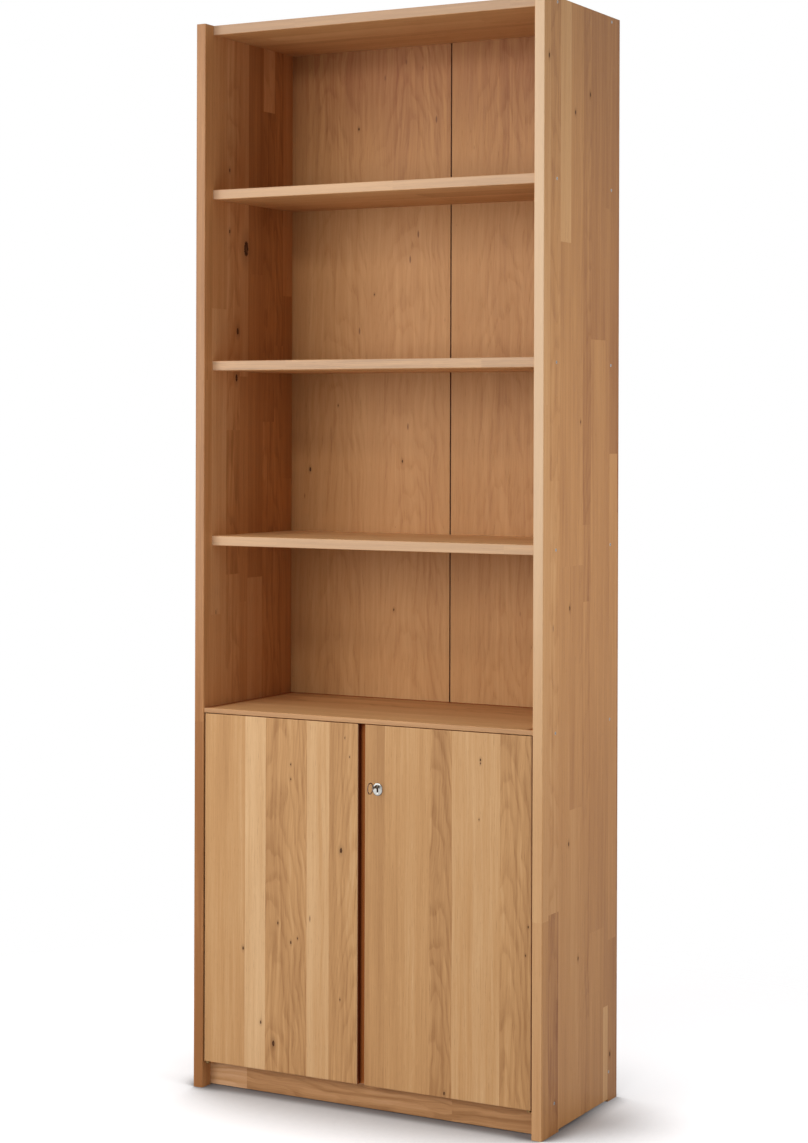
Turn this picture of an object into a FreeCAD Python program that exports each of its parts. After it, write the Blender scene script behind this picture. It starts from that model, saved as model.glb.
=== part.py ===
"""Tall oak bookcase with two inset cabinet doors.

Frame: +Z up, X across the width, the doors face -Y.  The origin is the centre of the base,
taken over the whole object with the key standing in the lock.
Every length is in millimetres.
"""
import FreeCAD, Part
import os
import re
import Sketcher

Vector = FreeCAD.Vector
Rotation = FreeCAD.Rotation
Placement = FreeCAD.Placement

# ---------------------------------------------------------------- driving dimensions
SIZES = {
    # carcass
    "carcass_width": 800,
    "carcass_height": 2210,
    "carcass_depth": 360,
    "side_thickness": 22,
    "side_edge_radius": 2,
    "board_thickness": 20,
    "board_edge_radius": 1.5,
    "overcut": 1,
    "hole_play": 0.1,
    "shelf_setback": 31,
    "front_setback": 3,
    "bottom_panel_level": 50,
    "cabinet_top_level": 769,
    "lower_shelf_level": 1125,
    "middle_shelf_level": 1490,
    "upper_shelf_level": 1847,
    "plinth_thickness": 18,
    "plinth_clearance": 2,
    "plinth_block_size": 24,
    "plinth_block_length": 70,
    "front_foot_length": 78,
    "back_foot_length": 44,
    "foot_relief": 5,
    # screws through the sides
    "screw_length": 50,
    "screw_radius": 2,
    "screw_head_radius": 3.5,
    "screw_head_height": 3,
    "screw_front_inset": 58,
    "screw_back_inset": 40,
    # back
    "back_thickness": 8,
    "back_recess": 2,
    "back_rebate": 10,
    "back_play": 0.5,
    "back_seam_offset": 16.5,
    "back_seam_gap": 3,
    "spline_thickness": 3,
    "spline_width": 15,
    # doors
    "door_thickness": 20,
    "door_side_gap": 2.5,
    "door_top_gap": 1.2,
    "door_back_gap": 2,
    "door_bottom_level": 55,
    "door_edge_radius": 2,
    "cabinet_top_lip": 10,
    "meeting_offset": 6,
    "door_slit": 2,
    "door_lip_width": 14,
    "door_lip_setback": 12,
    "buffer_size": 8,
    "buffer_thickness": 1.6,
    "buffer_inset": 60,
    # pivot hinges
    "pivot_inset": 6,
    "pivot_radius": 2.25,
    "pivot_play": 0.05,
    "pivot_engagement": 8,
    "pivot_bore_radius": 3,
    "bore_spare": 2,
    "pivot_collar_radius": 3.8,
    "pivot_collar_play": 0.1,
    "hinge_plate_length": 48,
    "hinge_plate_width": 8,
    "hinge_plate_thickness": 2.5,
    "bracket_leg_width": 34,
    "bracket_leg_height": 15,
    "bracket_corner_radius": 3,
    # adjustable shelf
    "loose_shelf_level": 412.6,
    "loose_shelf_setback": 62,
    "loose_shelf_play": 1,
    "shelf_pin_radius": 2.5,
    "shelf_pin_length": 18,
    "shelf_pin_bore": 10,
    "pin_column_inset": 48,
    "pin_row_pitch": 32,
    "pin_row_count": 3,
    # lock and key
    "lock_backset": 29.5,
    "lock_level": 655.5,
    "lock_case_setback": 2,
    "lock_case_length": 56,
    "lock_case_depth": 10,
    "lock_case_rise": 26,
    "lock_case_drop": 14,
    "lock_case_wall": 1.2,
    "lock_flange_width": 9,
    "lock_bolt_length": 42,
    "lock_bolt_height": 11,
    "lock_bolt_thickness": 5,
    "lock_bolt_rise": 8.5,
    "lock_bolt_throw": 10,
    "talon_width": 16,
    "talon_depth": 3.6,
    "slide_play": 0.3,
    "keeper_length": 19,
    "keeper_height": 40,
    "keeper_wall": 1.5,
    "keeper_loop_length": 11.4,
    "keeper_edge_inset": 1,
    "escutcheon_radius": 11,
    "escutcheon_straight": 4,
    "escutcheon_thickness": 1.2,
    "escutcheon_drop": 5.5,
    "keyhole_radius": 3.2,
    "keyhole_slot_width": 3.6,
    "keyhole_slot_drop": 12,
    "key_projection": 42,
    "key_shank_radius": 2.5,
    "key_bow_radius": 10.3,
    "key_bow_width": 2.8,
    "key_bow_thickness": 2.8,
    "key_bit_reach": 11,
    "key_bit_thickness": 2.4,
    "key_bit_width": 6,
    "key_ward_width": 1.6,
    "key_ward_depth": 4,
    "key_collar_radius": 3.6,
    "key_collar_length": 4,
    # surface bolt on the left door
    "door_bolt_inset": 34,
    "door_bolt_radius": 3,
    "door_bolt_length": 80,
    "door_bolt_travel": 12,
    "door_bolt_top_gap": 2,
    "door_bolt_reveal": 1,
    "bolt_plate_width": 22,
    "bolt_plate_height": 64,
    "bolt_plate_thickness": 2,
    "bolt_guide_length": 8,
    "bolt_guide_depth": 12,
    "bolt_guide_width": 12,
    "bolt_knob_radius": 4.5,
    "bolt_knob_length": 9,
    "bolt_knob_gap": 8,
    "bolt_keeper_length": 34,
    "bolt_keeper_width": 16,
    "bolt_keeper_thickness": 1.5,
}

doc = FreeCAD.newDocument("bookcase")
sheet = doc.addObject("Spreadsheet::Sheet", "Sizes")
for row, (alias, size) in enumerate(SIZES.items(), start=1):
    sheet.set(f"A{row}", alias)
    sheet.set(f"B{row}", str(size))
    sheet.setAlias(f"B{row}", alias)
doc.recompute()

SAME_PLACE = 1e-4  # two coordinates closer than this are one
SAME_DIRECTION = 1e-6

# ---------------------------------------------------------------- shared places, as formulas
KEY_REACH = "(key_projection - front_setback)"
FRONT = f"(-(carcass_depth - {KEY_REACH}) / 2)"
BACK = f"({FRONT} + carcass_depth)"
BACK_PANEL_FRONT = f"({BACK} - back_recess - back_thickness)"
INNER = "(carcass_width / 2 - side_thickness)"
DOOR_FRONT = f"({FRONT} + front_setback)"
DOOR_BACK = f"({DOOR_FRONT} + door_thickness)"
STOP_FACE = f"({DOOR_BACK} + door_back_gap)"
LIP_UNDERSIDE = "(cabinet_top_level + board_thickness - cabinet_top_lip)"
DOOR_TOP = f"({LIP_UNDERSIDE} - door_top_gap)"
DOOR_HEIGHT = f"({DOOR_TOP} - door_bottom_level)"
DOOR_EDGE = f"({INNER} - door_side_gap)"
LIP_EDGE = "(meeting_offset - door_slit)"
LEFT_DOOR_EDGE = f"({LIP_EDGE} - door_lip_width)"
PIVOT_X = f"({DOOR_EDGE} - pivot_inset)"
PIVOT_Y = f"({DOOR_FRONT} + pivot_inset)"
TOP_LEVEL = "(carcass_height - board_thickness)"
BOARD_LEVELS = [
    "bottom_panel_level", "cabinet_top_level", "lower_shelf_level",
    "middle_shelf_level", "upper_shelf_level", TOP_LEVEL,
]
LOCK_X = "(meeting_offset + lock_backset)"
BOLT_X = f"({LIP_EDGE} - door_bolt_inset)"
BOLT_Y = f"({DOOR_BACK} + bolt_plate_thickness + bolt_guide_depth / 2)"

TURNS = {
    "+z": Rotation(),
    "-z": Rotation(Vector(1, 0, 0), 180),
    "+x": Rotation(Vector(0, 1, 0), 90),
    "-x": Rotation(Vector(0, 1, 0), -90),
    "+y": Rotation(Vector(1, 0, 0), -90),
    "-y": Rotation(Vector(1, 0, 0), 90),
    "-y, own x down": Rotation(Vector(0, 0, -1), Vector(1, 0, 0), Vector(0, -1, 0), "XYZ"),
}


# ---------------------------------------------------------------- helpers
def in_sheet(formula):
    """The formula with every alias written as a reference to the sheet."""
    def reference(match):
        word = match.group(0)
        return f"Sizes.{word}" if word in SIZES else word
    return re.sub(r"[a-z][a-z_]*", reference, formula)


def number(formula):
    """The present value of a formula, in millimetres."""
    return float(sheet.evalExpression(in_sheet(formula)))


def bind(item, target, formula):
    item.setExpression(target, in_sheet(formula))


def place(item, x, y, z, axis="+z"):
    """Put an object at a point, its own +Z turned to the named axis."""
    item.Placement = Placement(Vector(), TURNS[axis])
    bind(item, "Placement.Base.x", x)
    bind(item, "Placement.Base.y", y)
    bind(item, "Placement.Base.z", z)
    return item


def box(label, x, y, z, length, width, height):
    item = doc.addObject("Part::Box", label)
    bind(item, "Length", length)
    bind(item, "Width", width)
    bind(item, "Height", height)
    return place(item, x, y, z)


def cylinder(label, x, y, z, axis, radius, height):
    item = doc.addObject("Part::Cylinder", label)
    bind(item, "Radius", radius)
    bind(item, "Height", height)
    return place(item, x, y, z, axis)


def prism(label, x, y, z, axis, radius, height):
    """A six-sided prism, its size measured to the corners."""
    item = doc.addObject("Part::Prism", label)
    item.Polygon = 6
    bind(item, "Circumradius", radius)
    bind(item, "Height", height)
    return place(item, x, y, z, axis)


def compound(label, pieces):
    """One node of separate solids."""
    item = doc.addObject("Part::Compound", label)
    item.Links = pieces
    return item


def fuse(label, pieces):
    item = doc.addObject("Part::MultiFuse", label)
    item.Shapes = pieces
    return item


def cut(label, blank, tools):
    """The blank with a list of tools taken out of it."""
    item = doc.addObject("Part::Cut", label)
    item.Base = blank
    item.Tool = compound(f"{label}_cuts", tools)
    return item


def mirrored(label, source):
    """The same piece on the other side of the middle plane."""
    item = doc.addObject("Part::Mirroring", label)
    item.Source = source
    item.Normal = Vector(1, 0, 0)
    return item


def new_body(label, x, y, z, axis="+z"):
    return place(doc.addObject("PartDesign::Body", label), x, y, z, axis)


def add_sketch(body, role, offset=None):
    """A sketch on one of the body's own planes, raised by an offset."""
    plane = next(item for item in body.Origin.OriginFeatures if item.Role == role)
    sketch = body.newObject("Sketcher::SketchObject", f"{body.Name}_sketch")
    sketch.AttachmentSupport = [(plane, "")]
    sketch.MapMode = "FlatFace"
    if offset:
        bind(sketch, "AttachmentOffset.Base.z", offset)
    return sketch


def constrain(sketch, kind, *parts):
    """A driving constraint whose last part is a formula."""
    index = sketch.addConstraint(Sketcher.Constraint(kind, *parts[:-1], number(parts[-1])))
    bind(sketch, f"Constraints[{index}]", parts[-1])


def polygon(sketch, corners):
    """A closed outline through corners given as pairs of formulas."""
    points = [Vector(number(u), number(v), 0) for u, v in corners]
    first = sketch.GeometryCount
    count = len(points)
    for index in range(count):
        sketch.addGeometry(Part.LineSegment(points[index], points[(index + 1) % count]))
    for index in range(count):
        following = first + (index + 1) % count
        sketch.addConstraint(Sketcher.Constraint("Coincident", first + index, 2, following, 1))
    for index, (u, v) in enumerate(corners):
        constrain(sketch, "DistanceX", first + index, 1, u)
        constrain(sketch, "DistanceY", first + index, 1, v)


def rectangle(sketch, u, v, width, height):
    right = f"{u} + {width}"
    top = f"{v} + {height}"
    polygon(sketch, [(u, v), (right, v), (right, top), (u, top)])


def circle(sketch, u, v, radius):
    index = sketch.GeometryCount
    centre = Vector(number(u), number(v), 0)
    sketch.addGeometry(Part.Circle(centre, Vector(0, 0, 1), number(radius)))
    constrain(sketch, "DistanceX", index, 3, u)
    constrain(sketch, "DistanceY", index, 3, v)
    constrain(sketch, "Radius", index, radius)


def slot(sketch, u, v, length, radius):
    """A round-ended slot that runs along u from the centre of its first end."""
    first = sketch.GeometryCount
    reach = number(length)
    size = number(radius)
    start = Vector(number(u), number(v), 0)
    end = start + Vector(reach, 0, 0)
    up = Vector(0, size, 0)
    side = Vector(size, 0, 0)
    sketch.addGeometry(Part.Arc(start + up, start - side, start - up))
    sketch.addGeometry(Part.LineSegment(start - up, end - up))
    sketch.addGeometry(Part.Arc(end - up, end + side, end + up))
    sketch.addGeometry(Part.LineSegment(end + up, start + up))
    for index in range(4):
        this = first + index
        following = first + (index + 1) % 4
        sketch.addConstraint(Sketcher.Constraint("Tangent", this, 2, following, 1))
    constrain(sketch, "DistanceX", first, 3, u)
    constrain(sketch, "DistanceY", first, 3, v)
    constrain(sketch, "DistanceX", first + 2, 3, f"{u} + {length}")
    constrain(sketch, "Radius", first, radius)
    sketch.addConstraint(Sketcher.Constraint("Horizontal", first + 1))


def pad(body, sketch, length, middle=False, back=False):
    """A pad along the sketch's normal, half to each side of it, or to its back."""
    feature = body.newObject("PartDesign::Pad", f"{body.Name}_pad")
    feature.Profile = sketch
    feature.Midplane = middle
    feature.Reversed = back
    bind(feature, "Length", length)
    return feature


def pocket(body, sketch, depth=None):
    """A pocket of a given depth, or right through both ways with no depth."""
    feature = body.newObject("PartDesign::Pocket", f"{body.Name}_pocket")
    feature.Profile = sketch
    if depth is None:
        feature.Type = "ThroughAll"
        feature.Midplane = True
    else:
        bind(feature, "Length", depth)
    return feature


def fillet(body, radius, wanted):
    """Round the edges of the body's last feature that the test picks."""
    doc.recompute()
    base = body.Tip
    names = [f"Edge{n}" for n, edge in enumerate(base.Shape.Edges, start=1) if wanted(edge)]
    feature = body.newObject("PartDesign::Fillet", f"{body.Name}_fillet")
    feature.Base = (base, names)
    bind(feature, "Radius", radius)


def runs_along(edge, direction):
    """True for a straight edge parallel to a direction."""
    if not isinstance(edge.Curve, (Part.Line, Part.LineSegment)):
        return False
    return abs(abs(edge.tangentAt(edge.FirstParameter).dot(direction)) - 1) < SAME_DIRECTION


def near(first, second):
    return abs(first - second) < SAME_PLACE


# ---------------------------------------------------------------- carcass
def side_panel(label):
    """Left side: feet under the front and back, a rebate for the back, rows of shelf-pin holes."""
    body = new_body(label, "-carcass_width / 2", FRONT, "0")
    outline = add_sketch(body, "YZ_Plane")
    back_foot = "carcass_depth - back_foot_length"
    polygon(outline, [
        ("0", "0"), ("front_foot_length", "0"), ("front_foot_length", "foot_relief"),
        (back_foot, "foot_relief"), (back_foot, "0"), ("carcass_depth", "0"),
        ("carcass_depth", "carcass_height"), ("0", "carcass_height"),
    ])
    pad(body, outline, "side_thickness")
    rebate = add_sketch(body, "XY_Plane")
    rectangle(rebate, "side_thickness - back_rebate", "carcass_depth - back_recess - back_thickness",
              "back_rebate + overcut", "back_recess + back_thickness + overcut")
    pocket(body, rebate)
    fillet(body, "side_edge_radius",
           lambda edge: runs_along(edge, Vector(0, 0, 1)) and near(edge.CenterOfMass.y, 0))
    pins = add_sketch(body, "YZ_Plane", offset="side_thickness")
    lowest = "loose_shelf_level - shelf_pin_radius - pin_row_pitch * (pin_row_count - 1) / 2"
    front_column = "loose_shelf_setback + pin_column_inset"
    back_column = "carcass_depth - back_recess - back_thickness - pin_column_inset"
    circle(pins, front_column, lowest, "shelf_pin_radius + hole_play / 2")
    circle(pins, back_column, lowest, "shelf_pin_radius + hole_play / 2")
    bores = pocket(body, pins, "shelf_pin_bore")
    doc.recompute()
    rows = body.newObject("PartDesign::LinearPattern", f"{label}_pin_rows")
    rows.Originals = [bores]
    rows.Direction = (pins, ["V_Axis"])
    bind(rows, "Length", "pin_row_pitch * (pin_row_count - 1)")
    bind(rows, "Occurrences", "pin_row_count")
    body.Tip = rows
    return body


def carcass_board(label, corners, setback, level):
    """A board across the carcass from its section (depth, height), its front edges rounded."""
    body = new_body(label, "0", f"{FRONT} + {setback}", level)
    section = add_sketch(body, "YZ_Plane")
    polygon(section, corners)
    pad(body, section, f"2 * {INNER}", middle=True)
    fillet(body, "board_edge_radius",
           lambda edge: runs_along(edge, Vector(1, 0, 0)) and near(edge.CenterOfMass.y, 0))
    return body


def board_depth(setback):
    return f"(carcass_depth - back_recess - back_thickness - {setback})"


def plain_section(setback, height):
    depth = board_depth(setback)
    return [("0", "0"), (depth, "0"), (depth, height), ("0", height)]


def shelf(label, level):
    section = plain_section("shelf_setback", "board_thickness")
    return carcass_board(label, section, "shelf_setback", level)


def cabinet_top_blank():
    """The board over the doors: a thin lip in front, rebated below so that the doors close on it."""
    stop = "(door_thickness + door_back_gap)"
    depth = board_depth("front_setback")
    lip = "(board_thickness - cabinet_top_lip)"
    corners = [
        ("0", lip), (stop, lip), (stop, "0"), (depth, "0"), (depth, "board_thickness"),
        ("0", "board_thickness"),
    ]
    return carcass_board("cabinet_top_blank", corners, "front_setback", "cabinet_top_level")


def bottom_panel_blank():
    setback = "(front_setback + door_thickness + door_back_gap)"
    return carcass_board("bottom_panel_blank", plain_section(setback, "board_thickness"), setback,
                         "bottom_panel_level")


def plinth():
    height = "(bottom_panel_level - plinth_clearance)"
    corners = [("0", "0"), ("plinth_thickness", "0"), ("plinth_thickness", height), ("0", height)]
    return carcass_board("plinth", corners, "shelf_setback", "plinth_clearance")


def plinth_blocks():
    """Three glue blocks in the corner behind the plinth."""
    y = f"{FRONT} + shelf_setback + plinth_thickness"
    z = "bottom_panel_level - plinth_block_size"
    reach = f"({INNER} - plinth_block_length)"
    places = [f"-{reach}", "0", reach]
    blocks = []
    for index, x in enumerate(places):
        blocks.append(box(f"plinth_block_{index}", f"{x} - plinth_block_length / 2", y, z,
                          "plinth_block_length", "plinth_block_size", "plinth_block_size"))
    return compound("plinth_blocks", blocks)


def back_panel(label, left, right, seam_on_right):
    """A back panel in the sides' rebates, grooved along the seam for the loose spline."""
    width = f"({right} - ({left}))"
    body = new_body(label, left, BACK_PANEL_FRONT, "plinth_clearance")
    plan = add_sketch(body, "XY_Plane")
    rectangle(plan, "0", "0", width, "back_thickness")
    pad(body, plan, "carcass_height - plinth_clearance")
    groove = add_sketch(body, "XY_Plane")
    depth = "((spline_width - back_seam_gap) / 2 + hole_play)"
    start = f"{width} - {depth}" if seam_on_right else "-overcut"
    rectangle(groove, start, "(back_thickness - spline_thickness - hole_play) / 2",
              f"{depth} + overcut", "spline_thickness + hole_play")
    pocket(body, groove)
    return body


def back_spline():
    return box("back_spline", "back_seam_offset - spline_width / 2",
               f"{BACK_PANEL_FRONT} + (back_thickness - spline_thickness) / 2", "plinth_clearance",
               "spline_width", "spline_thickness", "carcass_height - plinth_clearance")


def loose_shelf():
    """The adjustable shelf inside the cabinet, resting on four pins."""
    width = f"(2 * ({INNER} - loose_shelf_play))"
    depth = f"({BACK_PANEL_FRONT} - loose_shelf_play - {FRONT} - loose_shelf_setback)"
    body = new_body("cabinet_shelf", "0", f"{FRONT} + loose_shelf_setback", "loose_shelf_level")
    section = add_sketch(body, "YZ_Plane")
    polygon(section, [("0", "0"), (depth, "0"), (depth, "board_thickness"), ("0", "board_thickness")])
    pad(body, section, width, middle=True)
    fillet(body, "board_edge_radius",
           lambda edge: runs_along(edge, Vector(1, 0, 0)) and near(edge.CenterOfMass.y, 0))
    return body


def shelf_pins():
    z = "loose_shelf_level - shelf_pin_radius - hole_play / 2"
    columns = [f"{FRONT} + loose_shelf_setback + pin_column_inset",
               f"{BACK_PANEL_FRONT} - pin_column_inset"]
    pins = []
    for side, name, axis in (("-", "left", "+x"), ("", "right", "-x")):
        outer = f"({INNER} + shelf_pin_bore)"
        for column, y in enumerate(columns):
            pins.append(cylinder(f"shelf_pin_{name}_{column}", f"{side}{outer}", y, z, axis,
                                 "shelf_pin_radius", "shelf_pin_length"))
    return compound("shelf_pins", pins)


# ---------------------------------------------------------------- screws through the sides
def side_screw(label, y, z, play, spare):
    """A screw through the left side into a board's end, its head let in flush."""
    outside = "-carcass_width / 2"
    head = prism(f"{label}_head", outside, y, z, "+x", f"screw_head_radius + {play}",
                 f"screw_head_height + {play}")
    shank = prism(f"{label}_shank", outside, y, z, "+x", f"screw_radius + {play}",
                  f"screw_length + {spare}")
    return fuse(label, [head, shank])


def side_screws(label, play, spare):
    """Two screws for each fixed board, or the holes that they stand in."""
    screws = []
    for row, level in enumerate(BOARD_LEVELS):
        z = f"{level} + board_thickness / 2"
        for name, y in (("front", f"{FRONT} + screw_front_inset"), ("back", f"{BACK} - screw_back_inset")):
            screws.append(side_screw(f"{label}_{name}_{row}", y, z, play, spare))
    return compound(label, screws)


# ---------------------------------------------------------------- pivot hinges, left door
UPPER_PLATE_Z = LIP_UNDERSIDE
LOWER_BRACKET_TOP = "(door_bottom_level - door_top_gap)"


def hinge_plate(label, z, axis, bore):
    """A plate let in flush, its pin hole near one end."""
    body = new_body(label, f"-{PIVOT_X}", PIVOT_Y, z, axis)
    plan = add_sketch(body, "XY_Plane")
    rectangle(plan, "-hinge_plate_width / 2", "-hinge_plate_width / 2", "hinge_plate_length",
              "hinge_plate_width")
    circle(plan, "0", "0", bore)
    pad(body, plan, "hinge_plate_thickness", back=True)
    return body


def lower_bracket(bore):
    """Angle bracket: one leg let into the bottom panel's front edge, one under the door."""
    body = new_body("left_lower_bracket", f"-{PIVOT_X}", PIVOT_Y, LOWER_BRACKET_TOP)
    edge = "(hinge_plate_width / 2)"
    reach = f"({STOP_FACE} - {PIVOT_Y})"
    upright = add_sketch(body, "XY_Plane")
    rectangle(upright, f"-{edge}", reach, "bracket_leg_width", "hinge_plate_thickness")
    pad(body, upright, "bracket_leg_height")
    tongue = add_sketch(body, "XY_Plane")
    polygon(tongue, [
        (f"-{edge}", f"-{edge}"), (edge, f"-{edge}"), (edge, reach),
        (f"bracket_leg_width - {edge}", reach),
        (f"bracket_leg_width - {edge}", f"{reach} + hinge_plate_thickness"),
        (f"-{edge}", f"{reach} + hinge_plate_thickness"),
    ])
    pad(body, tongue, "hinge_plate_thickness", back=True)
    front = -number(edge)
    fillet(body, "bracket_corner_radius",
           lambda side: runs_along(side, Vector(0, 0, 1)) and near(side.CenterOfMass.y, front))
    hole = add_sketch(body, "XY_Plane")
    circle(hole, "0", "0", bore)
    pocket(body, hole)
    return body


def hinge_pins():
    """The upper pin hangs from its plate; the lower one stands on its bracket with a six-sided collar."""
    upper = cylinder("left_upper_pin", f"-{PIVOT_X}", PIVOT_Y, f"{UPPER_PLATE_Z} + hinge_plate_thickness",
                     "-z", "pivot_radius", "hinge_plate_thickness + door_top_gap + pivot_engagement")
    shank = cylinder("left_lower_pin_shank", f"-{PIVOT_X}", PIVOT_Y,
                     f"{LOWER_BRACKET_TOP} - hinge_plate_thickness", "+z", "pivot_radius",
                     "hinge_plate_thickness + door_top_gap + pivot_engagement")
    collar = prism("left_lower_pin_collar", f"-{PIVOT_X}", PIVOT_Y, LOWER_BRACKET_TOP, "+z",
                   "pivot_collar_radius", "door_top_gap - pivot_collar_play")
    lower = fuse("left_lower_pin", [shank, collar])
    return upper, lower


# ---------------------------------------------------------------- doors
def rounded_front(body):
    """Round the edges that frame a door's front face."""
    def frames_front(edge):
        straight = runs_along(edge, Vector(1, 0, 0)) or runs_along(edge, Vector(0, 0, 1))
        return straight and near(edge.CenterOfMass.y, 0)
    fillet(body, "door_edge_radius", frames_front)


def left_door_blank():
    """The door without a lock: its meeting edge carries a lip that the other door closes over."""
    width = f"({LEFT_DOOR_EDGE} + {DOOR_EDGE})"
    body = new_body("left_door_blank", f"-{DOOR_EDGE}", DOOR_FRONT, "door_bottom_level")
    plan = add_sketch(body, "XY_Plane")
    full = f"({width} + door_lip_width)"
    polygon(plan, [
        ("0", "0"), (width, "0"), (width, "door_lip_setback"), (full, "door_lip_setback"),
        (full, "door_thickness"), ("0", "door_thickness"),
    ])
    pad(body, plan, DOOR_HEIGHT)
    rounded_front(body)
    return body


def right_door_blank():
    """The door with the lock: square meeting edge on the left, hinged on the right."""
    width = f"({DOOR_EDGE} - meeting_offset)"
    body = new_body("right_door_blank", "meeting_offset", DOOR_FRONT, "door_bottom_level")
    plan = add_sketch(body, "XY_Plane")
    rectangle(plan, "0", "0", width, "door_thickness")
    pad(body, plan, DOOR_HEIGHT)
    rounded_front(body)
    return body


def plate_mortise(label, z, height):
    """The recess for one hinge plate, with a little play all round."""
    side = "(hinge_plate_width / 2 + hole_play)"
    return box(label, f"-{PIVOT_X} - {side}", f"{PIVOT_Y} - {side}", z,
               "hinge_plate_length + 2 * hole_play", f"2 * {side}", height)


def bracket_mortise():
    """The let-in leg of the left lower bracket."""
    return box("bracket_mortise", f"-{PIVOT_X} - hinge_plate_width / 2 - hole_play", STOP_FACE,
               f"{LOWER_BRACKET_TOP} - hinge_plate_thickness - hole_play",
               "bracket_leg_width + 2 * hole_play", "hinge_plate_thickness",
               "bracket_leg_height + hinge_plate_thickness + 2 * hole_play")


def door_heel_cuts():
    """Recess and pin bore at the top and bottom of the left door's heel."""
    depth = "pivot_engagement + bore_spare"
    return [
        plate_mortise("door_top_mortise", f"{DOOR_TOP} - hinge_plate_thickness",
                      "hinge_plate_thickness + overcut"),
        cylinder("door_top_bore", f"-{PIVOT_X}", PIVOT_Y, DOOR_TOP, "-z", "pivot_bore_radius", depth),
        plate_mortise("door_bottom_mortise", "door_bottom_level - overcut",
                      "hinge_plate_thickness + overcut"),
        cylinder("door_bottom_bore", f"-{PIVOT_X}", PIVOT_Y, "door_bottom_level", "+z",
                 "pivot_bore_radius", depth),
    ]


# ---------------------------------------------------------------- lock and key, right door
CASE_LEFT = "(lock_backset - lock_case_setback)"
BOLT_LIFT = "((lock_case_depth - lock_case_wall - lock_bolt_thickness) / 2)"


def lock_case():
    """Pressed rim-lock case on the back of the door: flange, hollow box, bolt window, post hole."""
    body = new_body("lock_case", LOCK_X, DOOR_BACK, "lock_level")
    flange = add_sketch(body, "XZ_Plane")
    rectangle(flange, f"-{CASE_LEFT}", "-(lock_case_drop + lock_flange_width)", "lock_case_length",
              "lock_case_drop + lock_case_rise + 2 * lock_flange_width")
    pad(body, flange, "lock_case_wall", back=True)
    shell = add_sketch(body, "XZ_Plane")
    rectangle(shell, f"-{CASE_LEFT}", "-lock_case_drop", "lock_case_length",
              "lock_case_drop + lock_case_rise")
    pad(body, shell, "lock_case_depth", back=True)
    hollow = add_sketch(body, "XZ_Plane")
    rectangle(hollow, f"-{CASE_LEFT} + lock_case_wall", "-lock_case_drop + lock_case_wall",
              "lock_case_length - 2 * lock_case_wall",
              "lock_case_drop + lock_case_rise - 2 * lock_case_wall")
    pocket(body, hollow, "lock_case_depth - lock_case_wall")
    window = add_sketch(body, "YZ_Plane", offset=f"-{CASE_LEFT} + 2 * lock_case_wall")
    rectangle(window, f"{BOLT_LIFT} - slide_play", "lock_bolt_rise - slide_play",
              "lock_bolt_thickness + 2 * slide_play", "lock_bolt_height + 2 * slide_play")
    pocket(body, window, "3 * lock_case_wall")
    post = add_sketch(body, "XZ_Plane")
    circle(post, "0", "0", "key_shank_radius + slide_play")
    pocket(body, post)
    return body


def lock_bolt():
    """The sliding bolt, with the talon notch that the key's bit works in."""
    body = new_body("lock_bolt", f"{LOCK_X} - {CASE_LEFT}", f"{DOOR_BACK} + {BOLT_LIFT}",
                    "lock_level + lock_bolt_rise")
    notch = f"({CASE_LEFT} + (lock_bolt_throw - talon_width) / 2)"
    side = add_sketch(body, "XZ_Plane")
    polygon(side, [
        ("0", "0"), (notch, "0"), (notch, "talon_depth"), (f"{notch} + talon_width", "talon_depth"),
        (f"{notch} + talon_width", "0"), ("lock_bolt_length", "0"),
        ("lock_bolt_length", "lock_bolt_height"), ("0", "lock_bolt_height"),
    ])
    pad(body, side, "lock_bolt_thickness", back=True)
    return body


def keyhole_cuts():
    """The keyhole through the right door, wide enough for the key's bit."""
    front = f"{DOOR_FRONT} - overcut"
    depth = "door_thickness + 2 * overcut"
    bore = cylinder("keyhole_bore", LOCK_X, front, "lock_level", "+y", "keyhole_radius", depth)
    foot = box("keyhole_foot", f"{LOCK_X} - keyhole_slot_width / 2", front,
               "lock_level - keyhole_slot_drop", "keyhole_slot_width", depth, "keyhole_slot_drop")
    return [bore, foot]


def escutcheon():
    """The oval keyhole plate on the door's face."""
    body = new_body("keyhole_escutcheon", LOCK_X, DOOR_FRONT, "lock_level - escutcheon_drop",
                    "-y, own x down")
    plan = add_sketch(body, "XY_Plane")
    slot(plan, "-escutcheon_straight / 2", "0", "escutcheon_straight", "escutcheon_radius")
    pad(body, plan, "escutcheon_thickness")
    bore = add_sketch(body, "XY_Plane")
    circle(bore, "-escutcheon_drop", "0", "keyhole_radius")
    pocket(body, bore)
    foot = add_sketch(body, "XY_Plane")
    rectangle(foot, "-escutcheon_drop", "-keyhole_slot_width / 2", "keyhole_slot_drop",
              "keyhole_slot_width")
    pocket(body, foot)
    return body


def key_bow(y):
    """A flat ring in the plane that the bit stands in."""
    body = new_body("key_bow", LOCK_X, y, "lock_level")
    ring = add_sketch(body, "YZ_Plane")
    circle(ring, "0", "0", "key_bow_radius + key_bow_width / 2")
    circle(ring, "0", "0", "key_bow_radius - key_bow_width / 2")
    pad(body, ring, "key_bow_thickness", middle=True)
    return body


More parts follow.
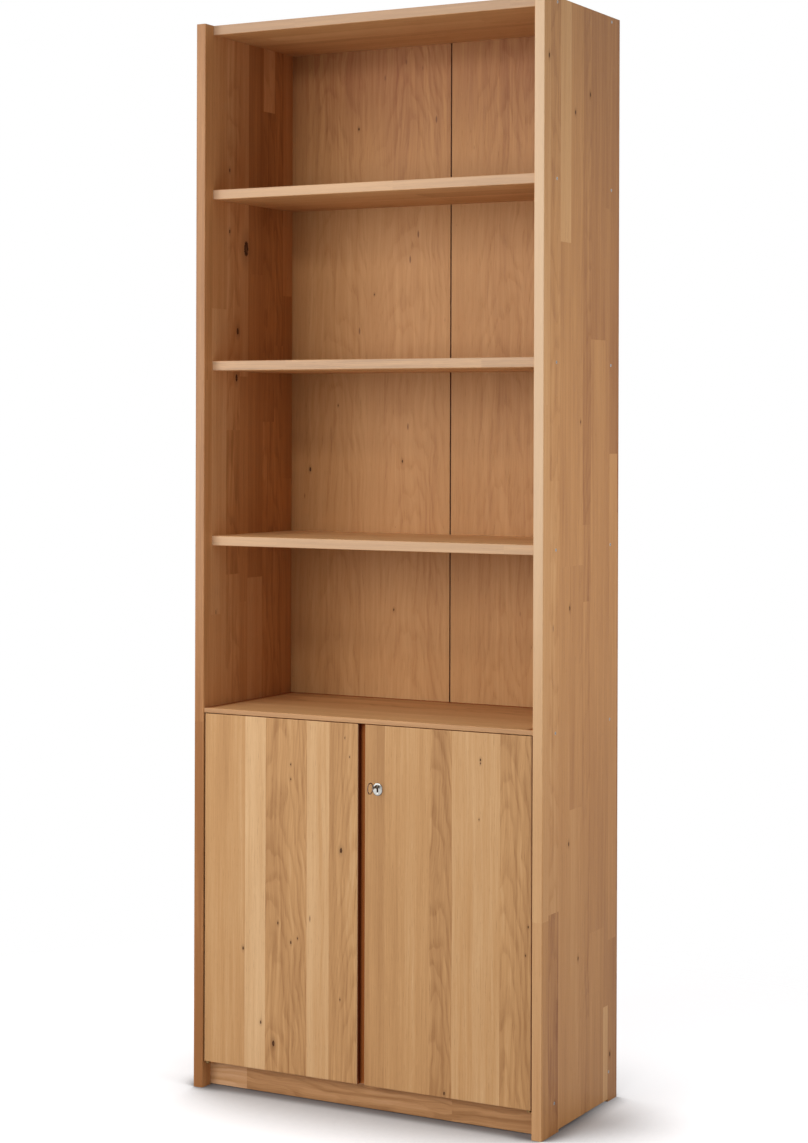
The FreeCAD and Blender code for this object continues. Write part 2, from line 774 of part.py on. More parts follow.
def key_bit():
    """The flat bit that turns inside the case, with a ward cut in its end."""
    inset = "(lock_case_depth - lock_case_wall - key_bit_width) / 2"
    body = new_body("key_bit", LOCK_X, f"{DOOR_BACK} + {inset}", "lock_level")
    outline = add_sketch(body, "YZ_Plane")
    ward_front = "(key_bit_width - key_ward_width) / 2"
    ward_back = "(key_bit_width + key_ward_width) / 2"
    ward_top = "key_ward_depth - key_bit_reach"
    polygon(outline, [
        ("0", "0"), ("0", "-key_bit_reach"), (ward_front, "-key_bit_reach"), (ward_front, ward_top),
        (ward_back, ward_top), (ward_back, "-key_bit_reach"), ("key_bit_width", "-key_bit_reach"),
        ("key_bit_width", "0"),
    ])
    pad(body, outline, "key_bit_thickness", middle=True)
    return body


def key():
    """Bit key standing in the lock: ring bow, round shank, collar and bit."""
    tip = f"({DOOR_FRONT} - key_projection)"
    bow_y = f"({tip} + key_bow_radius + key_bow_width / 2)"
    shank_start = f"({bow_y} + key_bow_radius)"
    shank_end = f"({DOOR_BACK} + lock_case_depth - lock_case_wall / 2)"
    shank = cylinder("key_shank", LOCK_X, shank_start, "lock_level", "+y", "key_shank_radius",
                     f"{shank_end} - {shank_start}")
    collar = cylinder("key_collar", LOCK_X,
                      f"{DOOR_FRONT} - escutcheon_thickness - slide_play - key_collar_length",
                      "lock_level", "+y", "key_collar_radius", "key_collar_length")
    return fuse("key", [key_bow(bow_y), shank, collar, key_bit()])


def lock_keeper():
    """The loop on the left door's back that takes the lock bolt."""
    right = f"({LIP_EDGE} - keeper_edge_inset)"
    body = new_body("lock_keeper", f"{right} - keeper_length", DOOR_BACK,
                    "lock_level + lock_bolt_rise + lock_bolt_height / 2")
    plate = add_sketch(body, "XZ_Plane")
    rectangle(plate, "0", "-keeper_height / 2", "keeper_length", "keeper_height")
    pad(body, plate, "keeper_wall", back=True)
    inner = "(lock_bolt_height / 2 + slide_play)"
    outer = f"({inner} + keeper_wall)"
    depth = f"({BOLT_LIFT} + lock_bolt_thickness + slide_play)"
    loop = add_sketch(body, "YZ_Plane", offset="keeper_length - keeper_loop_length")
    polygon(loop, [("0", f"-{outer}"), (f"{depth} + keeper_wall", f"-{outer}"),
                   (f"{depth} + keeper_wall", outer), ("0", outer)])
    pad(body, loop, "keeper_loop_length")
    hollow = add_sketch(body, "YZ_Plane", offset="keeper_length")
    polygon(hollow, [("keeper_wall", f"-{inner}"), (depth, f"-{inner}"), (depth, inner),
                     ("keeper_wall", inner)])
    pocket(body, hollow, "keeper_loop_length - keeper_wall")
    return body


# ---------------------------------------------------------------- surface bolt, left door
BOLT_TOP = "(cabinet_top_level - door_bolt_top_gap)"
PLATE_BOTTOM = f"({BOLT_TOP} - door_bolt_reveal - bolt_plate_height)"


def door_bolt_plate():
    """Base plate with two guide blocks that the round bolt slides in."""
    body = new_body("door_bolt_plate", BOLT_X, DOOR_BACK, f"{PLATE_BOTTOM} + bolt_plate_height / 2")
    plate = add_sketch(body, "XZ_Plane")
    rectangle(plate, "-bolt_plate_width / 2", "-bolt_plate_height / 2", "bolt_plate_width",
              "bolt_plate_height")
    pad(body, plate, "bolt_plate_thickness", back=True)
    guides = add_sketch(body, "XZ_Plane")
    for start in ("-bolt_plate_height / 2", "bolt_plate_height / 2 - bolt_guide_length"):
        rectangle(guides, "-bolt_guide_width / 2", start, "bolt_guide_width", "bolt_guide_length")
    pad(body, guides, "bolt_plate_thickness + bolt_guide_depth", back=True)
    bore = add_sketch(body, "XY_Plane")
    circle(bore, "0", "bolt_plate_thickness + bolt_guide_depth / 2", "door_bolt_radius + slide_play")
    pocket(body, bore)
    return body


def door_bolt():
    """Round bolt with a thumb knob, drawn down at rest."""
    rod = cylinder("door_bolt_rod", BOLT_X, BOLT_Y, f"{BOLT_TOP} - door_bolt_length", "+z",
                   "door_bolt_radius", "door_bolt_length")
    knob = cylinder("door_bolt_knob", BOLT_X, BOLT_Y,
                    f"{PLATE_BOTTOM} + bolt_guide_length + bolt_knob_gap + bolt_knob_radius", "+y",
                    "bolt_knob_radius", "door_bolt_radius + bolt_knob_length")
    return fuse("door_bolt", [rod, knob])


def door_bolt_keeper():
    """Flush plate under the board over the doors, with the hole that the bolt enters."""
    body = new_body("door_bolt_keeper", BOLT_X, STOP_FACE, "cabinet_top_level")
    plate = add_sketch(body, "XY_Plane")
    rectangle(plate, "-bolt_keeper_length / 2", "0", "bolt_keeper_length", "bolt_keeper_width")
    pad(body, plate, "bolt_keeper_thickness")
    hole = add_sketch(body, "XY_Plane")
    circle(hole, "0", f"{BOLT_Y} - {STOP_FACE}", "door_bolt_radius + 2 * slide_play")
    pocket(body, hole)
    return body


def door_bolt_cuts():
    """The keeper's recess and the bolt's bore in the board over the doors."""
    recess = box("bolt_keeper_recess", f"{BOLT_X} - bolt_keeper_length / 2 - hole_play",
                 f"{STOP_FACE} - overcut", "cabinet_top_level - overcut",
                 "bolt_keeper_length + 2 * hole_play", "bolt_keeper_width + overcut + hole_play",
                 "bolt_keeper_thickness + overcut")
    bore = cylinder("bolt_keeper_bore", BOLT_X, BOLT_Y, "cabinet_top_level", "+z",
                    "door_bolt_radius + 2 * slide_play",
                    "door_bolt_travel - door_bolt_top_gap + bore_spare")
    return [recess, bore]


# ---------------------------------------------------------------- buffers
def door_buffers():
    """Four soft pads on the stops that the doors close against."""
    levels = [f"(cabinet_top_level + {LIP_UNDERSIDE}) / 2",
              "(door_bottom_level + bottom_panel_level + board_thickness) / 2"]
    pads = []
    for row, z in enumerate(levels):
        for side, name in (("-", "left"), ("", "right")):
            pads.append(box(f"buffer_{name}_{row}", f"{side}buffer_inset - buffer_size / 2",
                            f"{STOP_FACE} - buffer_thickness", f"{z} - buffer_size / 2",
                            "buffer_size", "buffer_thickness", "buffer_size"))
    return compound("door_buffers", pads)


# ---------------------------------------------------------------- assembly
def both_sides(pieces):
    """The pieces with their copies on the other side of the middle plane."""
    return pieces + [mirrored(f"{piece.Label}_right", piece) for piece in pieces]


def build_carcass():
    screws = side_screws("side_screws_left", "0", "0")
    holes = side_screws("screw_holes", "hole_play", "bore_spare")
    right_holes = mirrored("screw_holes_right", holes)
    both = [holes, right_holes]
    left_blank = side_panel("side_blank")
    nodes = [
        cut("side_left", left_blank, [holes]),
        cut("side_right", mirrored("side_blank_right", left_blank), [right_holes]),
    ]
    for name, level in (("top_panel", TOP_LEVEL), ("upper_shelf", "upper_shelf_level"),
                        ("middle_shelf", "middle_shelf_level"), ("lower_shelf", "lower_shelf_level")):
        nodes.append(cut(name, shelf(f"{name}_blank", level), both))
    lip_mortise = plate_mortise("lip_mortise", UPPER_PLATE_Z, "hinge_plate_thickness")
    top_cuts = both_sides([lip_mortise]) + door_bolt_cuts()
    nodes.append(cut("cabinet_top", cabinet_top_blank(), both + top_cuts))
    nodes.append(cut("bottom_panel", bottom_panel_blank(), both + both_sides([bracket_mortise()])))
    nodes += [plinth(), plinth_blocks()]
    seam_left = "(back_seam_offset - back_seam_gap / 2)"
    seam_right = "(back_seam_offset + back_seam_gap / 2)"
    edge = f"({INNER} + back_rebate - back_play)"
    nodes.append(back_panel("back_panel_left", f"-{edge}", seam_left, True))
    nodes.append(back_panel("back_panel_right", seam_right, edge, False))
    nodes += [back_spline(), loose_shelf(), shelf_pins(), door_buffers()]
    nodes += [screws, mirrored("side_screws_right", screws)]
    return nodes


def build_hinges():
    """Pivot hinges, made for the left door and mirrored for the right one."""
    upper_pin, lower_pin = hinge_pins()
    running_bore = "pivot_radius + pivot_play"
    left = {
        "upper_pivot_plate": hinge_plate("left_upper_pivot_plate", UPPER_PLATE_Z, "-z", "pivot_radius"),
        "upper_pin": upper_pin,
        "upper_socket_plate": hinge_plate("left_upper_socket_plate", DOOR_TOP, "+z", running_bore),
        "lower_bracket": lower_bracket("pivot_radius"),
        "lower_pin": lower_pin,
        "lower_socket_plate": hinge_plate("left_lower_socket_plate", "door_bottom_level", "-z",
                                          running_bore),
    }
    right = [mirrored(f"right_{name}", piece) for name, piece in left.items()]
    return list(left.values()) + right


def build_doors():
    door_cuts = door_heel_cuts()
    right_cuts = [mirrored(f"{piece.Label}_right", piece) for piece in door_cuts]
    left = cut("left_door", left_door_blank(), door_cuts)
    right = cut("right_door", right_door_blank(), right_cuts + keyhole_cuts())
    hardware = [lock_case(), lock_bolt(), escutcheon(), key(), lock_keeper(), door_bolt_plate(),
                door_bolt(), door_bolt_keeper()]
    return [left, right] + hardware


nodes = build_carcass() + build_hinges() + build_doors()
doc.recompute()

# ---------------------------------------------------------------- checks and files
for item in doc.Objects:
    if "Invalid" in item.State or "Error" in item.State:
        raise RuntimeError(f"{item.Label} failed to rebuild: {item.State}")
for node in nodes:
    if node.Shape.isNull() or not node.Shape.isValid() or not node.Shape.Solids:
        raise RuntimeError(f"{node.Label} has no valid solid")

os.makedirs("parts", exist_ok=True)
for node in nodes:
    node.Shape.exportStep(os.path.join("parts", f"{node.Label}.step"))
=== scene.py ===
"""Looks for the bookcase with cabinet doors: oiled solid oak glued up from staves, small metal hardware."""

import math
from collections import namedtuple

import bmesh
import bpy
from mathutils import Matrix, Vector


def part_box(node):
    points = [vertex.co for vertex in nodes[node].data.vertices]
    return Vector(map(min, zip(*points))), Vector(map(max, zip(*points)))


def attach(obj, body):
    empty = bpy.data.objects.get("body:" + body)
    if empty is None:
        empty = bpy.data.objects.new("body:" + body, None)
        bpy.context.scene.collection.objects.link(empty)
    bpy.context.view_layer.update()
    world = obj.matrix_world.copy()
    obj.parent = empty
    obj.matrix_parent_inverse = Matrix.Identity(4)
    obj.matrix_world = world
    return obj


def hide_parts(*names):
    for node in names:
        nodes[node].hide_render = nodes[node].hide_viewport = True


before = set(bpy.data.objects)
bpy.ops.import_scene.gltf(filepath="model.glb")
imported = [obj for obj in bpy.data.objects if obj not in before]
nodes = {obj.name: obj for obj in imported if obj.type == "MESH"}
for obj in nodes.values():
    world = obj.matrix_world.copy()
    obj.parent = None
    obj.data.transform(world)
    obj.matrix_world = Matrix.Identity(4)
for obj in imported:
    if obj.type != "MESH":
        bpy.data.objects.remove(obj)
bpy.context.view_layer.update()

X, Y, Z = 0, 1, 2  # the axes of boxes and boards; lengths are metres throughout

# ---------------------------------------------------------------- camera

YAW = 0.49881  # radians, as is ROLL
ROLL = 0.00313
CAMERA_PLACE = (2.36244, -4.32381, 1.36918)
FOCAL = 2391.57  # pixels, as are the next two
CENTRE_Y = 429.03
FRAME_HEIGHT = 1143
SENSOR = 36.0  # millimetres
FARTHEST = 60


def make_camera():
    """A level view, turned to the left, with the frame shifted down."""
    data = bpy.data.cameras.new("camera")
    data.sensor_fit = "AUTO"
    data.sensor_width = SENSOR
    data.lens = FOCAL * SENSOR / FRAME_HEIGHT
    data.shift_y = (CENTRE_Y - FRAME_HEIGHT / 2) / FRAME_HEIGHT
    data.clip_end = FARTHEST
    ahead = Vector((-math.sin(YAW), math.cos(YAW), 0))
    right = Vector((math.cos(YAW), math.sin(YAW), 0))
    up = Vector((0, 0, 1))
    c, s = math.cos(ROLL), math.sin(ROLL)
    x, y, z = c * right + s * up, c * up - s * right, -ahead
    matrix = Matrix((x, y, z)).transposed().to_4x4()
    matrix.translation = Vector(CAMERA_PLACE)
    camera = bpy.data.objects.new("camera", data)
    camera.matrix_world = matrix
    bpy.context.scene.collection.objects.link(camera)
    bpy.context.scene.camera = camera


# ---------------------------------------------------------------- node helpers


class Tree:
    """Short calls that add shader nodes to one tree."""

    def __init__(self, tree):
        self.tree = tree

    def add(self, kind, inputs=None, **settings):
        node = self.tree.nodes.new(kind)
        for name, value in settings.items():
            setattr(node, name, value)
        for socket, value in (inputs or {}).items():
            self.put(node.inputs[socket], value)
        return node

    def put(self, socket, value):
        if isinstance(value, bpy.types.NodeSocket):
            self.tree.links.new(value, socket)
        else:
            socket.default_value = value

    def math(self, operation, a, b=0.0, c=0.0):
        return self.add("ShaderNodeMath", {0: a, 1: b, 2: c}, operation=operation).outputs[0]

    def plus(self, a, b):
        return self.math("ADD", a, b)

    def minus(self, a, b):
        return self.math("SUBTRACT", a, b)

    def times(self, a, b):
        return self.math("MULTIPLY", a, b)

    def times_plus(self, a, factor, more):
        return self.math("MULTIPLY_ADD", a, factor, more)

    def swing(self, layer, weight, more):
        """A layer of noise that swings round 0.5, so that its mean leaves more as it is."""
        return self.times_plus(self.minus(layer, 0.5), weight, more)

    def vector(self, operation, a, b=(0, 0, 0)):
        node = self.add("ShaderNodeVectorMath", {0: a, 1: b}, operation=operation)
        return node.outputs["Value" if operation in ("LENGTH", "DOT_PRODUCT") else "Vector"]

    def scale(self, vector, factor):
        node = self.add("ShaderNodeVectorMath", {0: vector, "Scale": factor}, operation="SCALE")
        return node.outputs["Vector"]

    def split(self, vector):
        return self.add("ShaderNodeSeparateXYZ", {0: vector}).outputs

    def join(self, x, y, z):
        return self.add("ShaderNodeCombineXYZ", {0: x, 1: y, 2: z}).outputs[0]

    def noise(self, place, stretch, detail=2.0, rough=0.5):
        """Noise from 0 to 1 at that many waves a metre along each axis."""
        at = self.vector("MULTIPLY", place, stretch)
        inputs = {"Vector": at, "Scale": 1.0, "Detail": detail, "Roughness": rough}
        return self.add("ShaderNodeTexNoise", inputs).outputs["Fac"]

    def range(self, value, low, high, to_low=0.0, to_high=1.0, smooth=False):
        inputs = {"Value": value, "From Min": low, "From Max": high, "To Min": to_low, "To Max": to_high}
        node = self.add("ShaderNodeMapRange", inputs, clamp=True)
        if smooth:
            node.interpolation_type = "SMOOTHSTEP"
        return node.outputs["Result"]

    def mix(self, factor, a, b):
        node = self.add("ShaderNodeMix", data_type="RGBA", clamp_factor=True)
        self.put(node.inputs[0], factor)
        self.put(node.inputs[6], a)
        self.put(node.inputs[7], b)
        return node.outputs[2]

    def steps(self, value, rows):
        """Three numbers that change at each row's start (0 to 1), from rows of (start, a, b, c)."""
        node = self.add("ShaderNodeValToRGB", {"Fac": value})
        ramp = node.color_ramp
        ramp.interpolation = "CONSTANT"
        while len(ramp.elements) > 1:
            ramp.elements.remove(ramp.elements[-1])
        for i, (start, *three) in enumerate(rows):
            stop = ramp.elements[0] if i == 0 else ramp.elements.new(start)
            stop.position = start
            stop.color = (*three, 1.0)
        return self.add("ShaderNodeSeparateColor", {0: node.outputs["Color"]}).outputs

    def wear_and_highlight(self, radius, low, high, amount):
        """How much an edge of that radius is painted paler, up to amount, as wear and painted highlight, and
        the normal that rounds it.
        """
        soft = self.add("ShaderNodeBevel", {"Radius": radius}, samples=4).outputs[0]
        face = self.add("ShaderNodeNewGeometry").outputs["Normal"]
        return self.range(self.vector("DOT_PRODUCT", soft, face), low, high, 0.0, amount), soft

    def openness(self, distance, samples, **normal):
        """1 where nothing stands within that distance, and less the more does."""
        inputs = {"Distance": distance, **normal}
        return self.add("ShaderNodeAmbientOcclusion", inputs, samples=samples).outputs["AO"]

    def seen(self):
        """1 for rays that show things as they are, straight or mirrored, and 0 for rays that gather light."""
        rays = self.add("ShaderNodeLightPath").outputs
        mirrored = self.math("MAXIMUM", rays["Is Glossy Ray"], rays["Is Transmission Ray"])
        return self.math("MAXIMUM", rays["Is Camera Ray"], mirrored)

    def choose(self, factor, first, second):
        return self.add("ShaderNodeMixShader", {0: factor, 1: first.outputs[0], 2: second.outputs[0]})

    def surface(self, shader, output="ShaderNodeOutputMaterial"):
        self.put(self.add(output).inputs["Surface"], shader.outputs[0])


def new_material(name):
    material = bpy.data.materials.new(name)
    material.use_nodes = True
    material.node_tree.nodes.clear()
    return material, Tree(material.node_tree)


def srgb(r, g, b):
    """A colour given as 0 to 255, as a linear one."""

    def linear(v):
        v /= 255
        return v / 12.92 if v <= 0.04045 else ((v + 0.055) / 1.055) ** 2.4

    return (linear(r), linear(g), linear(b), 1.0)


def new_group(name, inputs, outputs):
    group = bpy.data.node_groups.new(name, "ShaderNodeTree")
    for label, kind, default in inputs:
        socket = group.interface.new_socket(label, in_out="INPUT", socket_type=kind)
        if default is not None:
            socket.default_value = default
    for label, kind in outputs:
        group.interface.new_socket(label, in_out="OUTPUT", socket_type=kind)
    tree = Tree(group)
    start = tree.add("NodeGroupInput")
    end = tree.add("NodeGroupOutput")
    return group, tree, start.outputs, end


# ---------------------------------------------------------------- oak

FLOAT, VECTOR, COLOR = "NodeSocketFloat", "NodeSocketVector", "NodeSocketColor"
KNOT_LENGTH = 2.0  # of its width
KNOT_RAGGED = 0.9  # how unevenly its rim runs, in radii
KNOT_HALO = 0.24  # how dark the wood round it is
KNOT_PUSH, KNOT_PUSH_REACH = 0.55, 4.2  # share by which it moves the grain aside, and how far, in radii
RING = 0.0042  # one year's growth
PITH_REACH = 0.35  # how far outside a board the tree's middle may lie
# so near the tree's middle, wood shows flowing figure, and so far from it only straight lines
FLOWING, STRAIGHT = 0.04, 0.13
WAVES = {  # waves a metre of each layer of noise: across the staves, through the board, along the grain
    "sway": (15, 15, 4.6), "bend": (7, 7, 1.6), "ripple": (70, 70, 9), "bands": (34, 34, 0.7),
    "clouds": (9, 9, 2.4), "streaks": (105, 105, 2.8), "fibres": (430, 430, 7), "ticks": (290, 290, 24),
    "pores": (1500, 1500, 42), "flecks": (95, 95, 30), "specks": (34, 0, 9), "joints": (30, 30, 3),
    "knots": (420, 420, 260)}
SHIFT = {"flow": 0.042, "bend": 0.04, "sway": 0.020, "ripple": 0.0024}  # how far layers of noise move the lines
WEIGHT = {  # how much each layer changes the tone, which runs from 0, deep, to 1, pale
    "bands": 0.34, "clouds": 0.26, "streaks": 0.80, "ticks": -0.10, "early": -0.11, "fibres": 0.36,
    "flecks": 0.05}
PORE_COLOR, SPECK_COLOR, KNOT_COLOR = srgb(104, 66, 36), srgb(92, 48, 24), srgb(58, 22, 6)
ARRIS_WEAR_HIGHLIGHT_COLOR, NARROW_PALE_COLOR = srgb(236, 208, 168), srgb(226, 208, 184)
# painted shade: colours that darken narrow recesses, and their corners more deeply
RECESS_SHADE_COLOR, CORNER_SHADE_COLOR = srgb(150, 84, 34), srgb(104, 40, 6)


def knot_group():
    """One knot: pushes the grain aside around it and darkens its core."""
    group, t, given, end = new_group(
        "knot",
        [("Place", VECTOR, None), ("Middle", VECTOR, None), ("Radius", FLOAT, 0.004), ("Wobble", FLOAT, 0.5),
         ("Push", FLOAT, 0.0), ("Dark", FLOAT, 0.0)],
        [("Push", FLOAT), ("Dark", FLOAT)],
    )
    away = t.vector("SUBTRACT", given["Place"], given["Middle"])
    flat = t.vector("MULTIPLY", away, (1.0, 0.0, 1 / KNOT_LENGTH))
    distance = t.math("DIVIDE", t.vector("LENGTH", flat), given["Radius"])
    ragged = t.plus(distance, t.times_plus(given["Wobble"], KNOT_RAGGED, -KNOT_RAGGED / 2))
    core = t.times(t.range(ragged, 1.08, 0.82, smooth=True), t.range(ragged, 0.1, 0.6, 0.86, 1.0))
    halo = t.range(distance, 3.4, 0.8, smooth=True)
    dark = t.math("MAXIMUM", given["Dark"], t.math("MAXIMUM", core, t.times(halo, KNOT_HALO)))
    spread = t.math("POWER", t.math("DIVIDE", distance, KNOT_PUSH_REACH), 2.0)
    falloff = t.math("EXPONENT", t.times(spread, -1.0))
    side = t.split(away)[0]
    shove = t.times(t.times(side, falloff), -KNOT_PUSH)
    t.put(end.inputs["Push"], t.plus(given["Push"], shove))
    t.put(end.inputs["Dark"], dark)
    return group


def oak_group():
    """The wood. Place is in metres: x across the staves, y through the board, z along the grain."""
    group, t, given, end = new_group(
        "oak",
        [("Place", VECTOR, None), ("Id", FLOAT, 0.0), ("Tone", FLOAT, 0.5), ("Pith", FLOAT, 0.0),
         ("Push", FLOAT, 0.0), ("Knot", FLOAT, 0.0), ("Pale", COLOR, None), ("Middle", COLOR, None),
         ("Deep", COLOR, None), ("Contrast", FLOAT, 1.0), ("Specks", FLOAT, 0.05)],
        [("Color", COLOR), ("Roughness", FLOAT), ("Normal", VECTOR)],
    )
    pushed = t.vector("ADD", given["Place"], t.join(given["Push"], 0.0, 0.0))
    # each stave lies somewhere else in the noise
    place = t.vector("ADD", pushed, t.scale((3.1, 1.7, 7.3), given["Id"]))
    x, y, _ = t.split(pushed)
    across = t.minus(x, given["Pith"])
    figure = t.range(t.math("ABSOLUTE", across), STRAIGHT, FLOWING, 0.2, 1.0, smooth=True)
    sway = t.minus(t.noise(place, WAVES["sway"], 3.0, 0.45), 0.5)
    flow = t.vector("ADD", place, t.join(t.times(t.times(sway, SHIFT["flow"]), figure), 0.0, 0.0))
    # the year rings: long nested curves, because the stem tapers along the board
    bend = t.noise(place, WAVES["bend"], 2.0)
    ripple = t.noise(place, WAVES["ripple"], 2.0)
    depth = t.plus(y, t.times_plus(given["Id"], 0.02, 0.018))
    reach = t.vector("LENGTH", t.join(t.times_plus(bend, SHIFT["bend"], across), depth, 0.0))
    taper = t.times_plus(given["Id"], 0.018, 0.016)
    reach = t.times_plus(t.split(place)[2], taper, reach)
    reach = t.times_plus(sway, SHIFT["sway"], reach)
    reach = t.times_plus(ripple, SHIFT["ripple"], reach)
    year = t.math("FRACT", t.math("DIVIDE", reach, RING))
    early = t.times(t.range(year, 0.0, 0.14, smooth=True), t.range(year, 0.66, 0.16, smooth=True))
    # slow bands, streaks, fibres, and the open pores that oak shows as short dark dashes
    bands = t.noise(flow, WAVES["bands"], 2.0)
    clouds = t.noise(place, WAVES["clouds"], 3.0)
    streaks = t.noise(flow, WAVES["streaks"], 3.0, 0.55)
    fibres = t.noise(flow, WAVES["fibres"], 5.0, 0.62)
    ticks = t.range(t.noise(flow, WAVES["ticks"], 3.0, 0.6), 0.57, 0.72, smooth=True)
    pores = t.noise(flow, WAVES["pores"], 3.0, 0.6)
    dashes = t.range(pores, 0.56, 0.70, smooth=True)
    porous = t.times(dashes, t.times_plus(early, 0.7, 0.3))
    flecks = t.range(t.noise(place, WAVES["flecks"], 3.0, 0.6), 0.63, 0.72, smooth=True)
    # the tone: plain boards show their streaks less than flowing ones
    strength = t.times(t.times_plus(figure, 0.62, 0.38), given["Contrast"])
    tone = t.swing(bands, WEIGHT["bands"], given["Tone"])
    tone = t.swing(clouds, WEIGHT["clouds"], tone)
    drawn = t.swing(streaks, WEIGHT["streaks"], t.times(ticks, WEIGHT["ticks"]))
    drawn = t.times_plus(t.times(early, figure), WEIGHT["early"], drawn)
    tone = t.times_plus(drawn, strength, tone)
    tone = t.swing(fibres, WEIGHT["fibres"], tone)
    tone = t.times_plus(flecks, WEIGHT["flecks"], tone)
    pale = t.mix(t.range(tone, 0.5, 1.0), given["Middle"], given["Pale"])
    color = t.mix(t.range(tone, 0.5, 0.0), pale, given["Deep"])
    color = t.mix(t.times(porous, 0.38), color, PORE_COLOR)
    # pin knots, a few to a board or many
    cells = t.vector("MULTIPLY", place, WAVES["specks"])
    cell = t.add("ShaderNodeTexVoronoi", {"Vector": cells, "Scale": 1.0})
    chance, spread, _ = t.split(cell.outputs["Color"])
    picked = t.math("LESS_THAN", chance, given["Specks"])
    size = t.times_plus(spread, 0.055, 0.02)
    speck = t.range(t.math("DIVIDE", cell.outputs["Distance"], size), 1.3, 0.5, smooth=True)
    color = t.mix(t.times(t.times(picked, speck), 0.7), color, SPECK_COLOR)
    color = t.mix(t.times(given["Knot"], 0.95), color, KNOT_COLOR)
    # arrises are painted a little paler: partly rubbed wear, partly a painted highlight on the rounded edge
    edge, soft = t.wear_and_highlight(0.0016, 0.985, 0.80, 0.22)
    color = t.mix(edge, color, ARRIS_WEAR_HIGHLIGHT_COLOR)
    # pores and knots lie a little lower, and are rougher
    height = t.times_plus(porous, -1.0, t.times(fibres, 0.35))
    height = t.times_plus(given["Knot"], -0.5, height)
    bump = t.add("ShaderNodeBump", {"Strength": 0.55, "Distance": 0.00016, "Height": height, "Normal": soft})
    rough = t.times_plus(fibres, 0.16, 0.40)
    rough = t.times_plus(porous, 0.12, rough)
    rough = t.times_plus(given["Knot"], 0.3, rough)
    t.put(end.inputs["Color"], color)
    t.put(end.inputs["Roughness"], rough)
    t.put(end.inputs["Normal"], bump.outputs[0])
    return group


KNOT = knot_group()
OAK = oak_group()
DOOR_COLORS = (srgb(220, 182, 137), srgb(191, 145, 96), srgb(143, 96, 54))
SIDE_COLORS = (srgb(211, 164, 112), srgb(186, 133, 80), srgb(138, 83, 38))
# painted light: the left side's oak is set paler than the right side's, to make up for the shade inside the
# bays
INNER_COLORS = (srgb(226, 180, 132), srgb(200, 144, 92), srgb(150, 98, 54))
BOARD_COLORS = (srgb(220, 174, 122), srgb(198, 146, 94), srgb(150, 99, 55))
PLINTH_COLORS = (srgb(212, 170, 132), srgb(184, 137, 92), srgb(136, 90, 50))
BACK_COLORS = (srgb(201, 154, 102), srgb(177, 127, 77), srgb(136, 82, 43))
# painted shade: the spline in the seam between the back panels is coloured dark, for the shade in that narrow
# gap
SEAM_SHADE_COLORS = (srgb(96, 52, 24), srgb(84, 42, 16), srgb(64, 28, 8))

EDGE = 0.42  # past every board's edge, so that the first stave starts outside the wood
WIDTH, HEIGHT = (-EDGE, EDGE), (0.0, 2.3)
FADE_FOOT, FADE_TOP = 0.6, 1.3  # levels between which the paling of the narrow faces changes
GROOVE_DEPTHS = (0.0006, 0.0018)  # behind the face, from where the painted shade in the recess starts to where it is full
JOINT_WANDER = 0.0016  # of the line between two staves
OAK_SHINE = 0.2

# From start on, across the board, a stave has three lengths, each with its own tone, joined at two places along
# it. pith: where the tree's middle lies, from the board's middle.
Stave = namedtuple("Stave", "start low middle high low_joint high_joint pith")


def whole(start, tone, pith):
    """A stave that runs the board's whole length."""
    return Stave(start, tone, tone, tone, 0.0, 0.0, pith)


